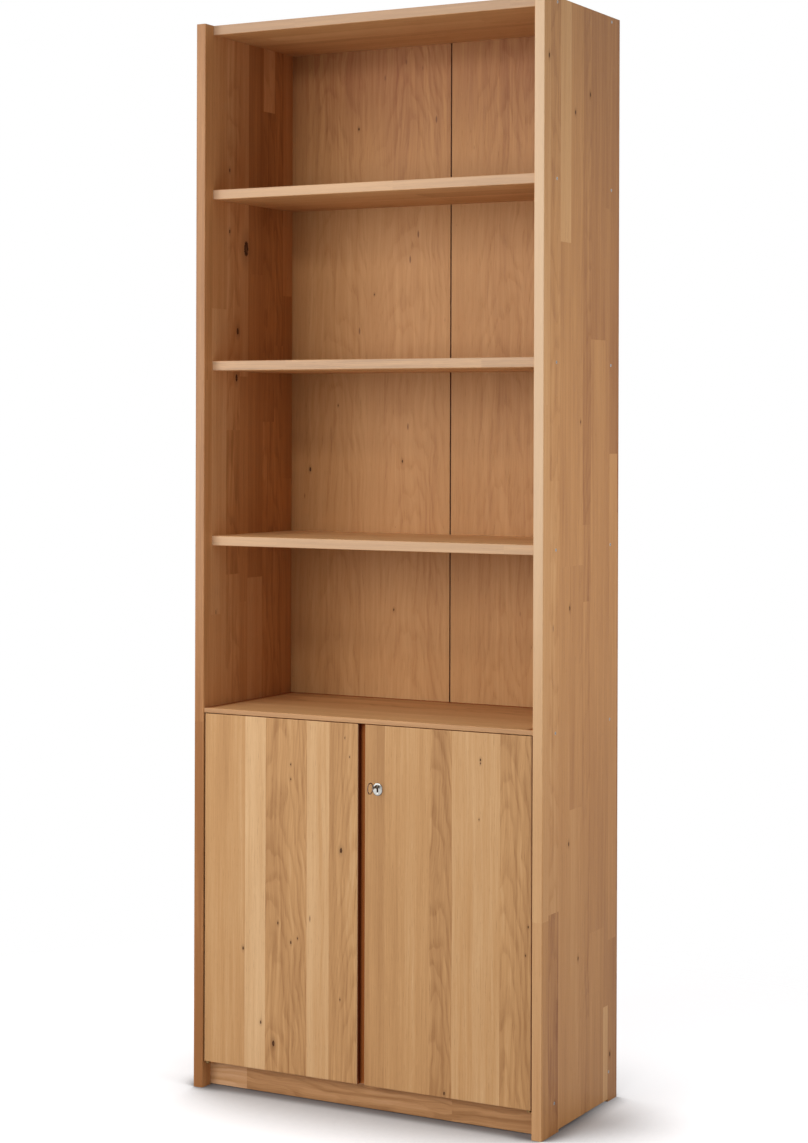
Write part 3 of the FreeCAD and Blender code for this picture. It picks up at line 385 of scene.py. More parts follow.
def board(name, across, through, along, staves, knots=(), colors=SIDE_COLORS, contrast=1.0, specks=0.05,
          edge_tone=0.0, edge_fade=None, length=HEIGHT, groove=None, top_shade=None):
    """Oak of one board. across, through and along are the axes of its staves' width, thickness and grain.

    knots: (place across, place along, radius). colors: pale, middle, deep. specks: the share of cells that hold
    a pin knot. edge_tone: added to the tone of the narrow faces. edge_fade: how far these are mixed towards a
    pale, greyish colour, at the foot and at the top. groove: paints shade into a narrow recess behind this
    level.
    browner: (from, to, amount), painted shade by which the tone falls along the board.
    """
    material, t = new_material(name)
    at = t.add("ShaderNodeTexCoord").outputs["Object"]
    axes = t.split(at)
    place = t.join(axes[across], axes[through], axes[along])

    def unit(v, low, high):
        return min(max((v - low) / (high - low), 0.0), 1.0)

    edge = t.times_plus(t.noise(place, WAVES["joints"], 1.0), JOINT_WANDER, axes[across])
    where = t.range(edge, *WIDTH)
    lows = [unit(stave.start, *WIDTH) for stave in staves]
    tones = t.steps(where, [(low, stave.low, stave.middle, stave.high) for low, stave in zip(lows, staves)])
    cuts = t.steps(where, [(low, unit(stave.low_joint, *length), unit(stave.high_joint, *length),
                            unit(stave.pith, -PITH_REACH, PITH_REACH)) for low, stave in zip(lows, staves)])
    # each stave, and each length of it, is a piece of wood with a number of its own
    ids = t.steps(where, [(low, (0.137 + 0.381 * i) % 1.0, 0, 0) for i, low in enumerate(lows)])
    height = t.range(axes[along], *length)
    second = t.math("GREATER_THAN", height, cuts[0])
    third = t.math("GREATER_THAN", height, cuts[1])
    lower = t.times_plus(second, t.minus(tones[1], tones[0]), tones[0])
    tone = t.times_plus(third, t.minus(tones[2], lower), lower)
    facing = t.split(t.add("ShaderNodeTexCoord").outputs["Normal"])[across]
    narrow = t.times(facing, facing)
    tone = t.times_plus(narrow, edge_tone, tone)
    # painted shade: the tone falls between two levels along the board
    if top_shade:
        low, high, amount = top_shade
        tone = t.minus(tone, t.range(axes[along], low, high, 0.0, amount, smooth=True))
    own = t.plus(ids[0], t.times(t.plus(second, third), 0.43))
    pith = t.range(cuts[2], 0, 1, -PITH_REACH, PITH_REACH)
    push, dark = 0.0, 0.0
    wobble = t.noise(place, WAVES["knots"], 2.0) if knots else None
    for x, z, radius in knots:
        knot = t.add("ShaderNodeGroup", node_tree=KNOT)
        t.put(knot.inputs["Place"], place)
        knot.inputs["Middle"].default_value = (x, 0, z)
        knot.inputs["Radius"].default_value = radius
        t.put(knot.inputs["Wobble"], wobble)
        t.put(knot.inputs["Push"], push)
        t.put(knot.inputs["Dark"], dark)
        push, dark = knot.outputs["Push"], knot.outputs["Dark"]
    wood = t.add("ShaderNodeGroup", node_tree=OAK)
    for label, value in {"Place": place, "Id": own, "Tone": tone, "Pith": pith, "Push": push, "Knot": dark,
                         "Pale": colors[0], "Middle": colors[1], "Deep": colors[2], "Contrast": contrast,
                         "Specks": specks}.items():
        t.put(wood.inputs[label], value)
    color, rough = wood.outputs["Color"], wood.outputs["Roughness"]
    if edge_fade:
        foot, top = edge_fade
        fade = t.range(axes[along], FADE_FOOT, FADE_TOP, foot, top, smooth=True)
        color = t.mix(t.times(narrow, fade), color, NARROW_PALE_COLOR)
    if groove is not None:
        # painted shade: the narrow rebate is darkened where little open air reaches it, most of all in its
        # corner
        open_air = t.openness(0.022, 8)
        behind = t.range(axes[Y], *[groove + depth for depth in GROOVE_DEPTHS])
        recess_shade = t.times(t.range(open_air, 0.97, 0.80, smooth=True), behind)
        corner = t.times(t.range(open_air, 0.70, 0.38, smooth=True), behind)
        color = t.mix(t.times(recess_shade, 0.97), color, RECESS_SHADE_COLOR)
        color = t.mix(corner, color, CORNER_SHADE_COLOR)
        rough = t.times_plus(recess_shade, 0.5, rough)
    shader = t.add("ShaderNodeBsdfPrincipled")
    t.put(shader.inputs["Base Color"], color)
    t.put(shader.inputs["Roughness"], rough)
    t.put(shader.inputs["Normal"], wood.outputs["Normal"])
    shader.inputs["Specular IOR Level"].default_value = OAK_SHINE
    t.surface(shader)
    return material


def dress(material, *names):
    for name in names:
        obj = nodes[name]
        obj.data.materials.clear()
        obj.data.materials.append(material)


DOOR_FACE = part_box("left_door")[0][Y]

left_front = board(
    "oak_left_door", X, Y, Z,
    [whole(-EDGE, 0.50, -0.08), whole(-0.2789, 0.78, -0.02), whole(-0.2281, 0.42, -0.176),
     whole(-0.1303, 0.68, 0.10), whole(-0.0763, 0.46, 0.02)],
    colors=DOOR_COLORS, groove=DOOR_FACE, edge_fade=(0.3, 0.3),
    knots=[(-0.2804, 0.2998, 0.0019), (-0.2069, 0.1129, 0.0032), (-0.2374, 0.1524, 0.0018),
           (-0.0485, 0.5208, 0.0028), (-0.1659, 0.3236, 0.0017), (-0.1499, 0.3332, 0.0012),
           (-0.1968, 0.3599, 0.0016), (-0.1671, 0.6556, 0.0011), (-0.1672, 0.6857, 0.0012),
           (-0.0292, 0.7103, 0.0010), (-0.0403, 0.7479, 0.0010), (-0.0501, 0.2206, 0.0012)])
right_front = board(
    "oak_right_door", X, Y, Z,
    [whole(-EDGE, 0.38, -0.25), whole(0.0506, 0.52, 0.30), whole(0.1521, 0.34, 0.178),
     whole(0.2032, 0.60, 0.02), whole(0.3059, 0.44, 0.345)],
    colors=DOOR_COLORS, groove=DOOR_FACE, edge_fade=(0.3, 0.3),
    knots=[(0.2649, 0.7243, 0.0016), (0.2649, 0.7178, 0.0012), (0.3691, 0.4091, 0.0012),
           (0.1870, 0.0638, 0.0019), (0.3635, 0.3538, 0.0011), (0.2622, 0.6080, 0.0010)])
SIDE_STAVES = [
    Stave(-EDGE, 0.50, 0.66, 0.64, 0.42, 1.416, 0.10),
    Stave(-0.1325, 0.36, 0.60, 0.48, 0.43, 1.269, -0.10),
    Stave(-0.0880, 0.50, 0.44, 0.78, 1.10, 1.736, 0.20),
    Stave(-0.0380, 0.52, 0.36, 0.50, 0.62, 1.100, 0.10),
    Stave(0.0200, 0.42, 0.40, 0.30, 1.026, 1.179, 0.12),
    Stave(0.0605, 0.46, 0.42, 0.22, 0.36, 1.55, -0.04),
    Stave(0.1300, 0.84, 0.34, 0.26, 0.197, 1.8185, 0.32),
    Stave(0.1520, 0.30, 0.44, 0.22, 0.33, 1.32, -0.10),
    Stave(0.1905, 0.22, 0.30, 0.14, 0.424, 1.20, 0.20)]
SIDE_KNOTS = [
    (-0.0394, 0.5542, 0.0022), (0.0069, 0.3204, 0.0022), (0.1646, 0.0954, 0.0026), (0.0535, 2.0391, 0.0024),
    (-0.0174, 1.9955, 0.0024), (-0.1400, 2.0917, 0.0026), (0.0115, 1.3843, 0.0018), (-0.0378, 1.0175, 0.0024),
    (-0.0998, 0.0616, 0.0016)]
right_side = board("oak_right_side", Y, X, Z, SIDE_STAVES, knots=SIDE_KNOTS, contrast=0.9, edge_tone=0.16,
                   edge_fade=(0.10, 0.42))
INNER_STAVES = [
    Stave(-EDGE, 0.40, 0.54, 0.42, 0.76, 1.47, 0.10),
    Stave(-0.1325, 0.58, 0.64, 0.50, 0.98, 1.62, -0.30),
    Stave(-0.0780, 0.56, 0.42, 0.60, 1.061, 1.366, -0.02),
    Stave(-0.0260, 0.46, 0.46, 0.66, 1.00, 1.48, 0.30),
    Stave(0.0080, 0.66, 0.34, 0.34, 1.050, 1.70, -0.10),
    Stave(0.0680, 0.48, 0.34, 0.92, 1.384, 2.0546, 0.085),
    Stave(0.1120, 0.40, 0.52, 0.38, 0.55, 1.55, 0.10),
    Stave(0.1500, 0.44, 0.32, 0.54, 1.26, 1.66, 0.32)]
INNER_KNOTS = [
    (-0.0001, 1.7528, 0.0086), (-0.0326, 1.5755, 0.0038), (-0.0368, 1.4770, 0.0042), (-0.0651, 1.7852, 0.0022),
    (-0.0659, 1.9142, 0.0020)]
left_side = board("oak_left_side", Y, X, Z, INNER_STAVES, knots=INNER_KNOTS, colors=INNER_COLORS, contrast=1.1,
                  edge_tone=-0.38, edge_fade=(0.0, 0.1))

FIRST_JOINT, STAVE_WIDTH, STAVE_SPREAD = -0.1295, 0.062, 0.02  # of the horizontal boards


def shelf_board(name, tones, shift, joints, edge_fade=0.30, groove=None):
    """A horizontal board: staves run from side to side. shift gives each board its own joints and figure."""
    rows, start = [], -EDGE
    for i, tone in enumerate(tones):
        low, high = joints[i % len(joints)]
        step = 0.06 if i else 0.01
        pith = (i * 0.37 + shift) % 0.6 - 0.3
        rows.append(Stave(start, tone, tone + step, tone - step, low, high, pith))
        uneven = (i * 7 + round(shift * 50)) % 3 + shift
        start = FIRST_JOINT + STAVE_WIDTH * i + STAVE_SPREAD * uneven
    return board(name, Y, Z, X, rows, colors=BOARD_COLORS, contrast=1.3, edge_tone=-0.50,
                 edge_fade=(edge_fade, edge_fade), length=WIDTH, groove=groove)


top_wood = shelf_board(
    "oak_top", (0.54, 0.5, 0.62, 0.4, 0.55, 0.6), 0.0, ((-0.18, 0.31), (0.05, 0.4), (-0.3, 0.2)))
upper_wood = shelf_board(
    "oak_upper_shelf", (0.80, 0.55, 0.45, 0.62, 0.5, 0.5), 0.3, ((-0.4, 0.05), (-0.1, 0.3)))
middle_wood = shelf_board(
    "oak_middle_shelf", (0.78, 0.6, 0.5, 0.66, 0.45, 0.5), 0.7, ((-0.2, 0.25), (0.0, 0.35)))
# painted light: the lower shelf's staves are set near the pale end, paler than the other shelves', for the
# light on its upper face
lower_wood = shelf_board(
    "oak_lower_shelf", (0.84, 1.0, 1.05, 0.9, 1.0, 0.95), 1.1, ((-0.22, 0.3), (-0.05, 0.2)))
cabinet_wood = shelf_board(
    "oak_cabinet_top", (0.80, 0.80, 0.62, 0.50, 0.34, 0.30), 1.6, ((-0.1, 0.3), (-0.3, 0.1)),
    edge_fade=0.10, groove=DOOR_FACE)
hidden_wood = shelf_board(
    "oak_inside", (0.5, 0.6, 0.42, 0.6, 0.5, 0.55), 2.1, ((-0.1, 0.3), (-0.3, 0.1)))
plinth_wood = board(
    "oak_plinth", Z, Y, X, [Stave(-EDGE, 0.66, 0.46, 0.42, -0.288, 0.19, 0.025)],
    colors=PLINTH_COLORS, length=WIDTH)
# the back's thin panels: many pin knots, and painted shade that darkens them towards the top, under the top
# panel
BACK = {
    # edge_tone: the panels' narrow faces, which meet in the seam, are set deep as painted shade there
    "colors": BACK_COLORS, "contrast": 0.8, "specks": 0.62, "edge_tone": -1.2, "top_shade": (1.86, 2.19, 0.44)}
back_left_wood = board(
    "oak_back_left", X, Y, Z,
    [whole(-EDGE, 0.60, -0.25), whole(-0.19, 0.62, -0.07), whole(0.005, 0.60, 0.10)],
    knots=[(-0.21, 2.02, 0.0018), (-0.26, 1.42, 0.0012), (-0.10, 1.30, 0.0016), (-0.17, 1.66, 0.0012),
           (-0.33, 1.28, 0.0024), (-0.12, 0.98, 0.0014)], **BACK)
back_right_wood = board(
    "oak_back_right", X, Y, Z, [whole(-EDGE, 0.60, 0.16), whole(0.19, 0.58, 0.26)],
    knots=[(0.29, 1.46, 0.0016), (0.22, 1.88, 0.0012), (0.32, 1.72, 0.0014), (0.25, 1.05, 0.0014)], **BACK)
seam_shade_wood = board("oak_seam_painted_shade", X, Y, Z, [whole(-EDGE, 0.4, 0.3)], colors=SEAM_SHADE_COLORS)

dress(left_front, "left_door")
dress(right_front, "right_door")
dress(right_side, "side_right")
dress(left_side, "side_left")
dress(top_wood, "top_panel")
dress(upper_wood, "upper_shelf")
dress(middle_wood, "middle_shelf")
dress(lower_wood, "lower_shelf")
dress(cabinet_wood, "cabinet_top")
dress(hidden_wood, "bottom_panel", "cabinet_shelf", "plinth_blocks")
dress(plinth_wood, "plinth")
dress(back_left_wood, "back_panel_left")
dress(back_right_wood, "back_panel_right")
dress(seam_shade_wood, "back_spline")

# ---------------------------------------------------------------- metal and small parts


def shade(color, factor, more=0.0):
    return tuple(min(1.0, part * factor + more) for part in color[:3]) + (1,)


def metal(name, color, rough, metallic=1.0, brushed=(90, 90, 900), stain=0.12):
    """Metal with fine brushing, faint stains, and edges painted bright: partly wear, partly a painted
    highlight.
    """
    material, t = new_material(name)
    at = t.add("ShaderNodeTexCoord").outputs["Object"]
    fine = t.noise(at, tuple(v * 4 for v in brushed), 4.0, 0.6)
    patch = t.noise(at, (130, 130, 130), 3.0)
    dull = t.mix(t.times(t.range(patch, 0.45, 0.75), stain * 3), color, shade(color, 0.45))
    edge, soft = t.wear_and_highlight(0.0005, 0.98, 0.75, 0.35)
    shader = t.add("ShaderNodeBsdfPrincipled")
    shader.inputs["Metallic"].default_value = metallic
    t.put(shader.inputs["Base Color"], t.mix(edge, dull, shade(color, 1.5, 0.05)))
    t.put(shader.inputs["Roughness"], t.times_plus(fine, 0.18, rough - 0.06))
    bump = t.add("ShaderNodeBump", {"Strength": 0.3, "Distance": 0.00004, "Height": fine, "Normal": soft})
    t.put(shader.inputs["Normal"], bump.outputs[0])
    t.surface(shader)
    return material


nickel = metal("nickel", srgb(184, 183, 178), 0.28, stain=0.08)
# painted shade: a darker nickel for the foot of the rosette's rim, for its dark outline of shade and reflection
rim_shade_metal = metal("nickel_painted_rim_shade", srgb(112, 104, 98), 0.42, stain=0.2)
key_metal = metal("key_steel", srgb(104, 99, 92), 0.34, stain=0.25)
bow_metal = metal("bow_bronze", srgb(112, 90, 80), 0.38, stain=0.25)
steel = metal("hardware_steel", srgb(168, 168, 168), 0.34)
brass = metal("hinge_brass", srgb(132, 106, 68), 0.42, stain=0.2)
felt = metal("buffer", srgb(196, 190, 180), 0.9, metallic=0.0, brushed=(500, 500, 500))

dress(nickel, "keyhole_escutcheon")
dress(key_metal, "key")
dress(steel, "lock_case", "lock_bolt", "lock_keeper", "door_bolt_plate", "door_bolt", "door_bolt_keeper",
      "shelf_pins", "side_screws_left", "side_screws_right")
HINGE_PARTS = (
    "upper_pivot_plate", "upper_pin", "lower_bracket", "lower_pin", "upper_socket_plate", "lower_socket_plate")
dress(brass, *[f"{side}_{part}" for side in ("left", "right") for part in HINGE_PARTS])
dress(felt, "door_buffers")

# ---------------------------------------------------------------- detail in mesh

TURNED_SIDES = 24


def middle(name, axis):
    low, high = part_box(name)
    return (low[axis] + high[axis]) / 2


def add_piece(name, mesh, body, slot, *materials):
    for material in materials:
        mesh.materials.append(material)
    obj = bpy.data.objects.new(name, mesh)
    bpy.context.scene.collection.objects.link(obj)
    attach(obj, body)
    return obj


def lathe(name, spots, rings, material, body, slot):
    """Turned pieces, all one object: rings of (radius, depth below the face, sides) down each spot's axis.

    spots: (place, outward direction). A ring with 6 sides follows a hexagon, as a driver socket does.
    """
    vertices, faces = [], []
    for place, outward in spots:
        axis = Vector(outward).normalized()
        first = axis.orthogonal().normalized()
        second = axis.cross(first)
        base = len(vertices)
        for radius, depth, sides in rings:
            for k in range(TURNED_SIDES):
                angle = 2 * math.pi * k / TURNED_SIDES
                reach = radius
                if sides == 6:
                    reach = radius * math.cos(math.pi / 6) / math.cos((angle % (math.pi / 3)) - math.pi / 6)
                at = Vector(place) - axis * depth + reach * (math.cos(angle) * first + math.sin(angle) * second)
                vertices.append(at)
        for ring in range(len(rings) - 1):
            for k in range(TURNED_SIDES):
                a = base + ring * TURNED_SIDES + k
                b = base + ring * TURNED_SIDES + (k + 1) % TURNED_SIDES
                faces.append((a, b, b + TURNED_SIDES, a + TURNED_SIDES))
        faces.append(tuple(base + k for k in range(TURNED_SIDES))[::-1])
        faces.append(tuple(base + (len(rings) - 1) * TURNED_SIDES + k for k in range(TURNED_SIDES)))
    mesh = bpy.data.meshes.new(name)
    mesh.from_pydata(vertices, [], faces)
    return add_piece(name, mesh, body, slot, material)


SCREWED_BOARDS = ("bottom_panel", "cabinet_top", "lower_shelf", "middle_shelf", "upper_shelf", "top_panel")
SCREW_INSETS = (0.027, 0.030)  # from a shelf's front and rear edge
HALF_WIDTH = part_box("side_right")[1][X]
BOARD_MIDDLES = [middle(name, Z) for name in SCREWED_BOARDS]
SHELF_FRONT, SHELF_REAR = [corner[Y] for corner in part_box("upper_shelf")]
SCREW_ROWS = (SHELF_FRONT + SCREW_INSETS[0], SHELF_REAR - SCREW_INSETS[1])
# from the point up to the head and down into its socket
SIDE_SCREW = [(0.0004, 0.050, 0), (0.0016, 0.0475, 0), (0.0020, 0.045, 0), (0.0020, 0.0030, 0),
              (0.00305, 0.0030, 0), (0.00305, 0.0004, 0), (0.00285, 0.00005, 0), (0.0017, 0.00005, 6),
              (0.0016, 0.0022, 6), (0.0002, 0.0024, 0)]
WOOD_SCREW = [(0.0004, 0.014, 0), (0.0013, 0.011, 0), (0.0014, 0.0028, 0), (0.0034, 0.0001, 0),
              (0.0033, -0.0002, 0), (0.0026, -0.00035, 0), (0.0014, -0.00038, 6), (0.0013, 0.0010, 6),
              (0.0002, 0.0011, 0)]

for side, name in ((-1, "left"), (1, "right")):
    spots = [((HALF_WIDTH * side, y, z), (side, 0, 0)) for z in BOARD_MIDDLES for y in SCREW_ROWS]
    screws = lathe(f"side_screw_heads_{name}", spots, SIDE_SCREW, steel, "carcass", "hardware_steel")
    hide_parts(f"side_screws_{name}")

# thickness: of what the heads stand on. Insets and reaches: from the piece's ends to the screws
PLATE_REACHES = (0.021, 0.040)
BRACKET_THICKNESS, BRACKET_REACHES, BRACKET_DROP = 0.0025, (0.009, 0.026), 0.0062
CASE_FLANGE, CASE_INSET = 0.0012, (0.007, 0.0045)
KEEPER_THICKNESS, KEEPER_INSET = 0.0015, (0.0045, 0.006)
BOLT_PLATE_THICKNESS, BOLT_PLATE_INSET = 0.002, (0.0038, 0.015)
BOLT_KEEPER_INSET = 0.004
BACK_COLUMNS, BACK_INSET = (-0.26, -0.10, 0.12, 0.27), 0.005
BACK_FOOT, BACK_STEP, BACK_ROWS = 0.11, 0.18, 12


def scaled(rings, factor):
    return [(radius * factor, depth * factor if depth > 0 else depth, sides) for radius, depth, sides in rings]


def in_corners(box, level, inset):
    """Spots on the rear side of a plate, one in each corner."""
    (left, _, foot), (right, _, top) = box
    return [((x, level, z), (0, 1, 0)) for x in (left + inset[0], right - inset[0])
            for z in (foot + inset[1], top - inset[1])]


def fitting_screws():
    """Small countersunk screws, in rows that follow each fitting's own box."""
    rows = {}

    def put(body, slot, spots, factor):
        rows.setdefault((body, slot, factor), []).extend(spots)

    for side, out in (("left", 1), ("right", -1)):
        door = f"{side}_door"
        for piece, body, up in (
                (f"{side}_upper_socket_plate", door, 1), (f"{side}_lower_socket_plate", door, -1),
                (f"{side}_upper_pivot_plate", "carcass", -1)):
            low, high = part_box(piece)
            heel = low[X] if side == "left" else high[X]
            z = high[Z] if up > 0 else low[Z]
            spots = [((heel + out * reach, middle(piece, Y), z), (0, 0, up)) for reach in PLATE_REACHES]
            put(body, "hinge_brass", spots, 0.7)
        low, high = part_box(f"{side}_lower_bracket")
        heel = low[X] if side == "left" else high[X]
        front, level = high[Y] - BRACKET_THICKNESS, high[Z] - BRACKET_DROP
        spots = [((heel + out * reach, front, level), (0, -1, 0)) for reach in BRACKET_REACHES]
        put("carcass", "hinge_brass", spots, 0.8)
    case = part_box("lock_case")
    put("right_door", "hardware_steel", in_corners(case, case[0][Y] + CASE_FLANGE, CASE_INSET), 0.9)
    low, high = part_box("lock_keeper")
    spots = [((low[X] + KEEPER_INSET[0], low[Y] + KEEPER_THICKNESS, z), (0, 1, 0))
             for z in (low[Z] + KEEPER_INSET[1], high[Z] - KEEPER_INSET[1])]
    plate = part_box("door_bolt_plate")
    spots += in_corners(plate, plate[0][Y] + BOLT_PLATE_THICKNESS, BOLT_PLATE_INSET)
    put("left_door", "hardware_steel", spots, 0.8)
    low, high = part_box("door_bolt_keeper")
    spots = [((x, middle("door_bolt_keeper", Y), low[Z]), (0, 0, -1))
             for x in (low[X] + BOLT_KEEPER_INSET, high[X] - BOLT_KEEPER_INSET)]
    put("carcass", "hardware_steel", spots, 0.8)
    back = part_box("back_panel_left")[1][Y]
    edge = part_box("back_panel_right")[1][X] - BACK_INSET
    spots = [((x, back, z), (0, 1, 0)) for x in BACK_COLUMNS for z in BOARD_MIDDLES]
    spots += [((side * edge, back, BACK_FOOT + BACK_STEP * k), (0, 1, 0))
              for side in (-1, 1) for k in range(BACK_ROWS)]
    put("carcass", "hardware_steel", spots, 1.0)
    for number, ((body, slot, factor), spots) in enumerate(rows.items()):
        material = brass if slot == "hinge_brass" else steel
        lathe(f"screws_{number}_{body}", spots, scaled(WOOD_SCREW, factor), material, body, slot)


fitting_screws()


def loft(mesh, loops):
    """Skin between closed loops of the same number of points, given one after the other."""
    count = len(loops[0])
    rings = [[mesh.verts.new(point) for point in loop] for loop in loops]
    faces = []
    for low, high in zip(rings, rings[1:]):
        for k in range(count):
            after = (k + 1) % count
            faces.append(mesh.faces.new((low[k], low[after], high[after], high[k])))
    return rings, faces


def finished(mesh, name, sharp):
    """The mesh's data, smooth but for edges of more than that many degrees."""
    for face in mesh.faces:
        face.smooth = True
    bmesh.ops.recalc_face_normals(mesh, faces=mesh.faces)
    data = bpy.data.meshes.new(name)
    mesh.to_mesh(data)
    mesh.free()
    data.set_sharp_from_angle(angle=math.radians(sharp))
    return data


def circle(sides):
    """Cosine and sine of that many directions."""
    return [(math.cos(2 * math.pi * k / sides), math.sin(2 * math.pi * k / sides)) for k in range(sides)]


LOCK_LEVEL = middle("key", Z)
KEYHOLE_RADIUS, SLOT_HALF, SLOT_DROP = 0.0032, 0.0018, 0.012
ROSETTE_RADIUS, ROSETTE_STRAIGHT, ROSETTE_DROP = 0.011, 0.004, 0.0055
ROSETTE_STEPS = 72
# (how far in from the outline, share of the thickness): up over the rim, then down through the keyhole
ROSETTE_RIM = [(0.0, 0.0), (0.0, 0.28), (0.0002, 0.52), (0.0006, 0.74), (0.0012, 0.90), (0.0021, 0.98),
               (0.0032, 1.0)]
ROSETTE_LIP = [(0.00045, 1.0), (0.00012, 0.95), (0.0, 0.82), (0.0, 0.0)]
RIM_SHADE_BANDS = 4  # of the rim, from its foot, coloured dark as painted shade and a painted dark reflection


def rosette():
    """The keyhole plate: an oval with a rounded rim, its keyhole cut through."""
    front_y, face_y = [corner[Y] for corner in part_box("keyhole_escutcheon")]
    middle_x, thickness = middle("keyhole_escutcheon", X), face_y - front_y
    # seen from where the keyhole's round part meets its slot, every outline is reached once in each direction
    rise = -math.sqrt(KEYHOLE_RADIUS ** 2 - SLOT_HALF ** 2)
    eye = LOCK_LEVEL + rise
    above_oval_middle = rise + ROSETTE_DROP
    half = ROSETTE_STRAIGHT / 2

    def to_arc(angle, centre, radius):
        """From the eye to a circle round a point that lies straight above or below it."""
        ahead = centre * math.sin(angle)
        return ahead + math.sqrt(ahead ** 2 - centre ** 2 + radius ** 2)

    def to_oval(angle):
        c, s = math.cos(angle), math.sin(angle)
        if abs(c) > 1e-6:
            side = ROSETTE_RADIUS / abs(c)
            if abs(above_oval_middle + side * s) <= half:
                return side
            upper = above_oval_middle + side * s > 0
        else:
            upper = s > 0
        return to_arc(angle, (half if upper else -half) - above_oval_middle, ROSETTE_RADIUS)

    def to_keyhole(angle):
        c, s = math.cos(angle), math.sin(angle)
        if s >= -1e-9:
            return to_arc(angle, -rise, KEYHOLE_RADIUS)
        return min(SLOT_HALF / max(abs(c), 1e-6), (SLOT_DROP + rise) / -s)

    corner = math.atan2(-(SLOT_DROP + rise), SLOT_HALF)
    angles = sorted([2 * math.pi * (k + 0.5) / ROSETTE_STEPS - math.pi for k in range(ROSETTE_STEPS)]
                    + [0.0, math.pi, corner, -math.pi - corner])

    def loop(reach, inset, height):
        points = []
        for angle in angles:
            r = reach(angle) + inset
            points.append((middle_x + r * math.cos(angle), face_y - height, eye + r * math.sin(angle)))
        return points

    mesh = bmesh.new()
    loops = [loop(to_oval, -inset, part * thickness) for inset, part in ROSETTE_RIM]
    loops += [loop(to_keyhole, inset, part * thickness) for inset, part in ROSETTE_LIP]
    rings, faces = loft(mesh, loops)
    # the rim's foot takes the darker nickel: painted shade and dark reflection
    for face in faces[:RIM_SHADE_BANDS * len(angles)]:
        face.material_index = 1
    # the back, against the door
    for k in range(len(angles)):
        after = (k + 1) % len(angles)
        mesh.faces.new((rings[-1][k], rings[-1][after], rings[0][after], rings[0][k]))
    piece = add_piece("rosette", finished(mesh, "rosette", 50), "right_door", "nickel", nickel, rim_shade_metal)
    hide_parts("keyhole_escutcheon")


BOW_WIRE = 0.00105
BOW_SIDES, WIRE_SIDES, SHANK_SIDES = 56, 14, 28
KEY_TURNED = [  # (radius, distance in front of the plate) in millimetres, from the bow to the collar
    (0.0, 20.3), (1.4, 20.2), (1.9, 19.2), (2.1, 17.8), (2.9, 17.2), (3.1, 16.6), (2.9, 16.0), (2.1, 15.4),
    (2.05, 7.4), (2.5, 6.2), (3.3, 5.3), (3.6, 4.6), (3.6, 1.2), (3.3, 0.6), (2.3, 0.35)]
KEY_TIP = [(2.3, 0.8), (1.6, 0.1), (0.0, 0.0)]  # (radius, distance from the end) in millimetres
THINNEST = 1e-5  # radius at a turned piece's two ends
CASE_WALL = 0.0012
BIT_WIDTH, BIT_REACH, BIT_THICKNESS, BIT_CHAMFER, BIT_ROOT = 0.006, 0.011, 0.0024, 0.0003, 0.001
WARD_WIDTH, WARD_DEPTH = 0.0016, 0.004


def key_piece():
    """Bit key: a ring for the bow, a turned shank with a bead and a collar, and a bit with its ward cut."""
    low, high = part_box("key")
    plate_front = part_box("keyhole_escutcheon")[0][Y]
    x = middle("key", X)
    mesh = bmesh.new()
    ring = high[Z] - LOCK_LEVEL - BOW_WIRE
    bow_y = low[Y] + ring + BOW_WIRE
    loops = []
    for turn_c, turn_s in circle(BOW_SIDES):
        reaches = [(BOW_WIRE * s, ring + BOW_WIRE * c) for c, s in circle(WIRE_SIDES)]
        loops.append([(x + beside, bow_y + r * turn_c, LOCK_LEVEL + r * turn_s) for beside, r in reaches])
    loft(mesh, loops + loops[:1])
    bmesh.ops.remove_doubles(mesh, verts=mesh.verts, dist=1e-6)
    for face in mesh.faces:
        face.material_index = 1

    profile = [(r / 1000, plate_front - d / 1000) for r, d in KEY_TURNED]
    profile += [(r / 1000, high[Y] - d / 1000) for r, d in KEY_TIP]
    loops = []
    for r, y in profile:
        r = max(r, THINNEST)
        loops.append([(x + r * c, y, LOCK_LEVEL + r * s) for c, s in circle(SHANK_SIDES)])
    rings, _ = loft(mesh, loops)
    mesh.faces.new(rings[0])
    mesh.faces.new(rings[-1])

    # the bit's outline, seen from the side, and where its chamfer pulls each point
    case_low, case_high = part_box("lock_case")
    front = (case_low[Y] + case_high[Y] - CASE_WALL - BIT_WIDTH) / 2
    back = front + BIT_WIDTH
    ward_front, ward_back = front + (BIT_WIDTH - WARD_WIDTH) / 2, front + (BIT_WIDTH + WARD_WIDTH) / 2
    root, bottom = LOCK_LEVEL - BIT_ROOT, LOCK_LEVEL - BIT_REACH
    ward_top = bottom + WARD_DEPTH
    outline = [(front, root), (front, bottom), (ward_front, bottom), (ward_front, ward_top),
               (ward_back, ward_top), (ward_back, bottom), (back, bottom), (back, root)]
    pull = [(1, 0), (1, 1), (-1, 1), (-1, 1), (1, 1), (1, 1), (-1, 1), (-1, 0)]
    small = [(y + BIT_CHAMFER * a, z + BIT_CHAMFER * b) for (y, z), (a, b) in zip(outline, pull)]
    half = BIT_THICKNESS / 2
    stack = [(small, -half), (outline, BIT_CHAMFER - half), (outline, half - BIT_CHAMFER), (small, half)]
    rings, _ = loft(mesh, [[(x + side, y, z) for y, z in shape] for shape, side in stack])
    mesh.faces.new(rings[0])
    mesh.faces.new(rings[-1])
    piece = add_piece("bit_key", finished(mesh, "bit_key", 40), "key", "key_steel", key_metal, bow_metal)
    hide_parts("key")


rosette()
key_piece()

# ---------------------------------------------------------------- room

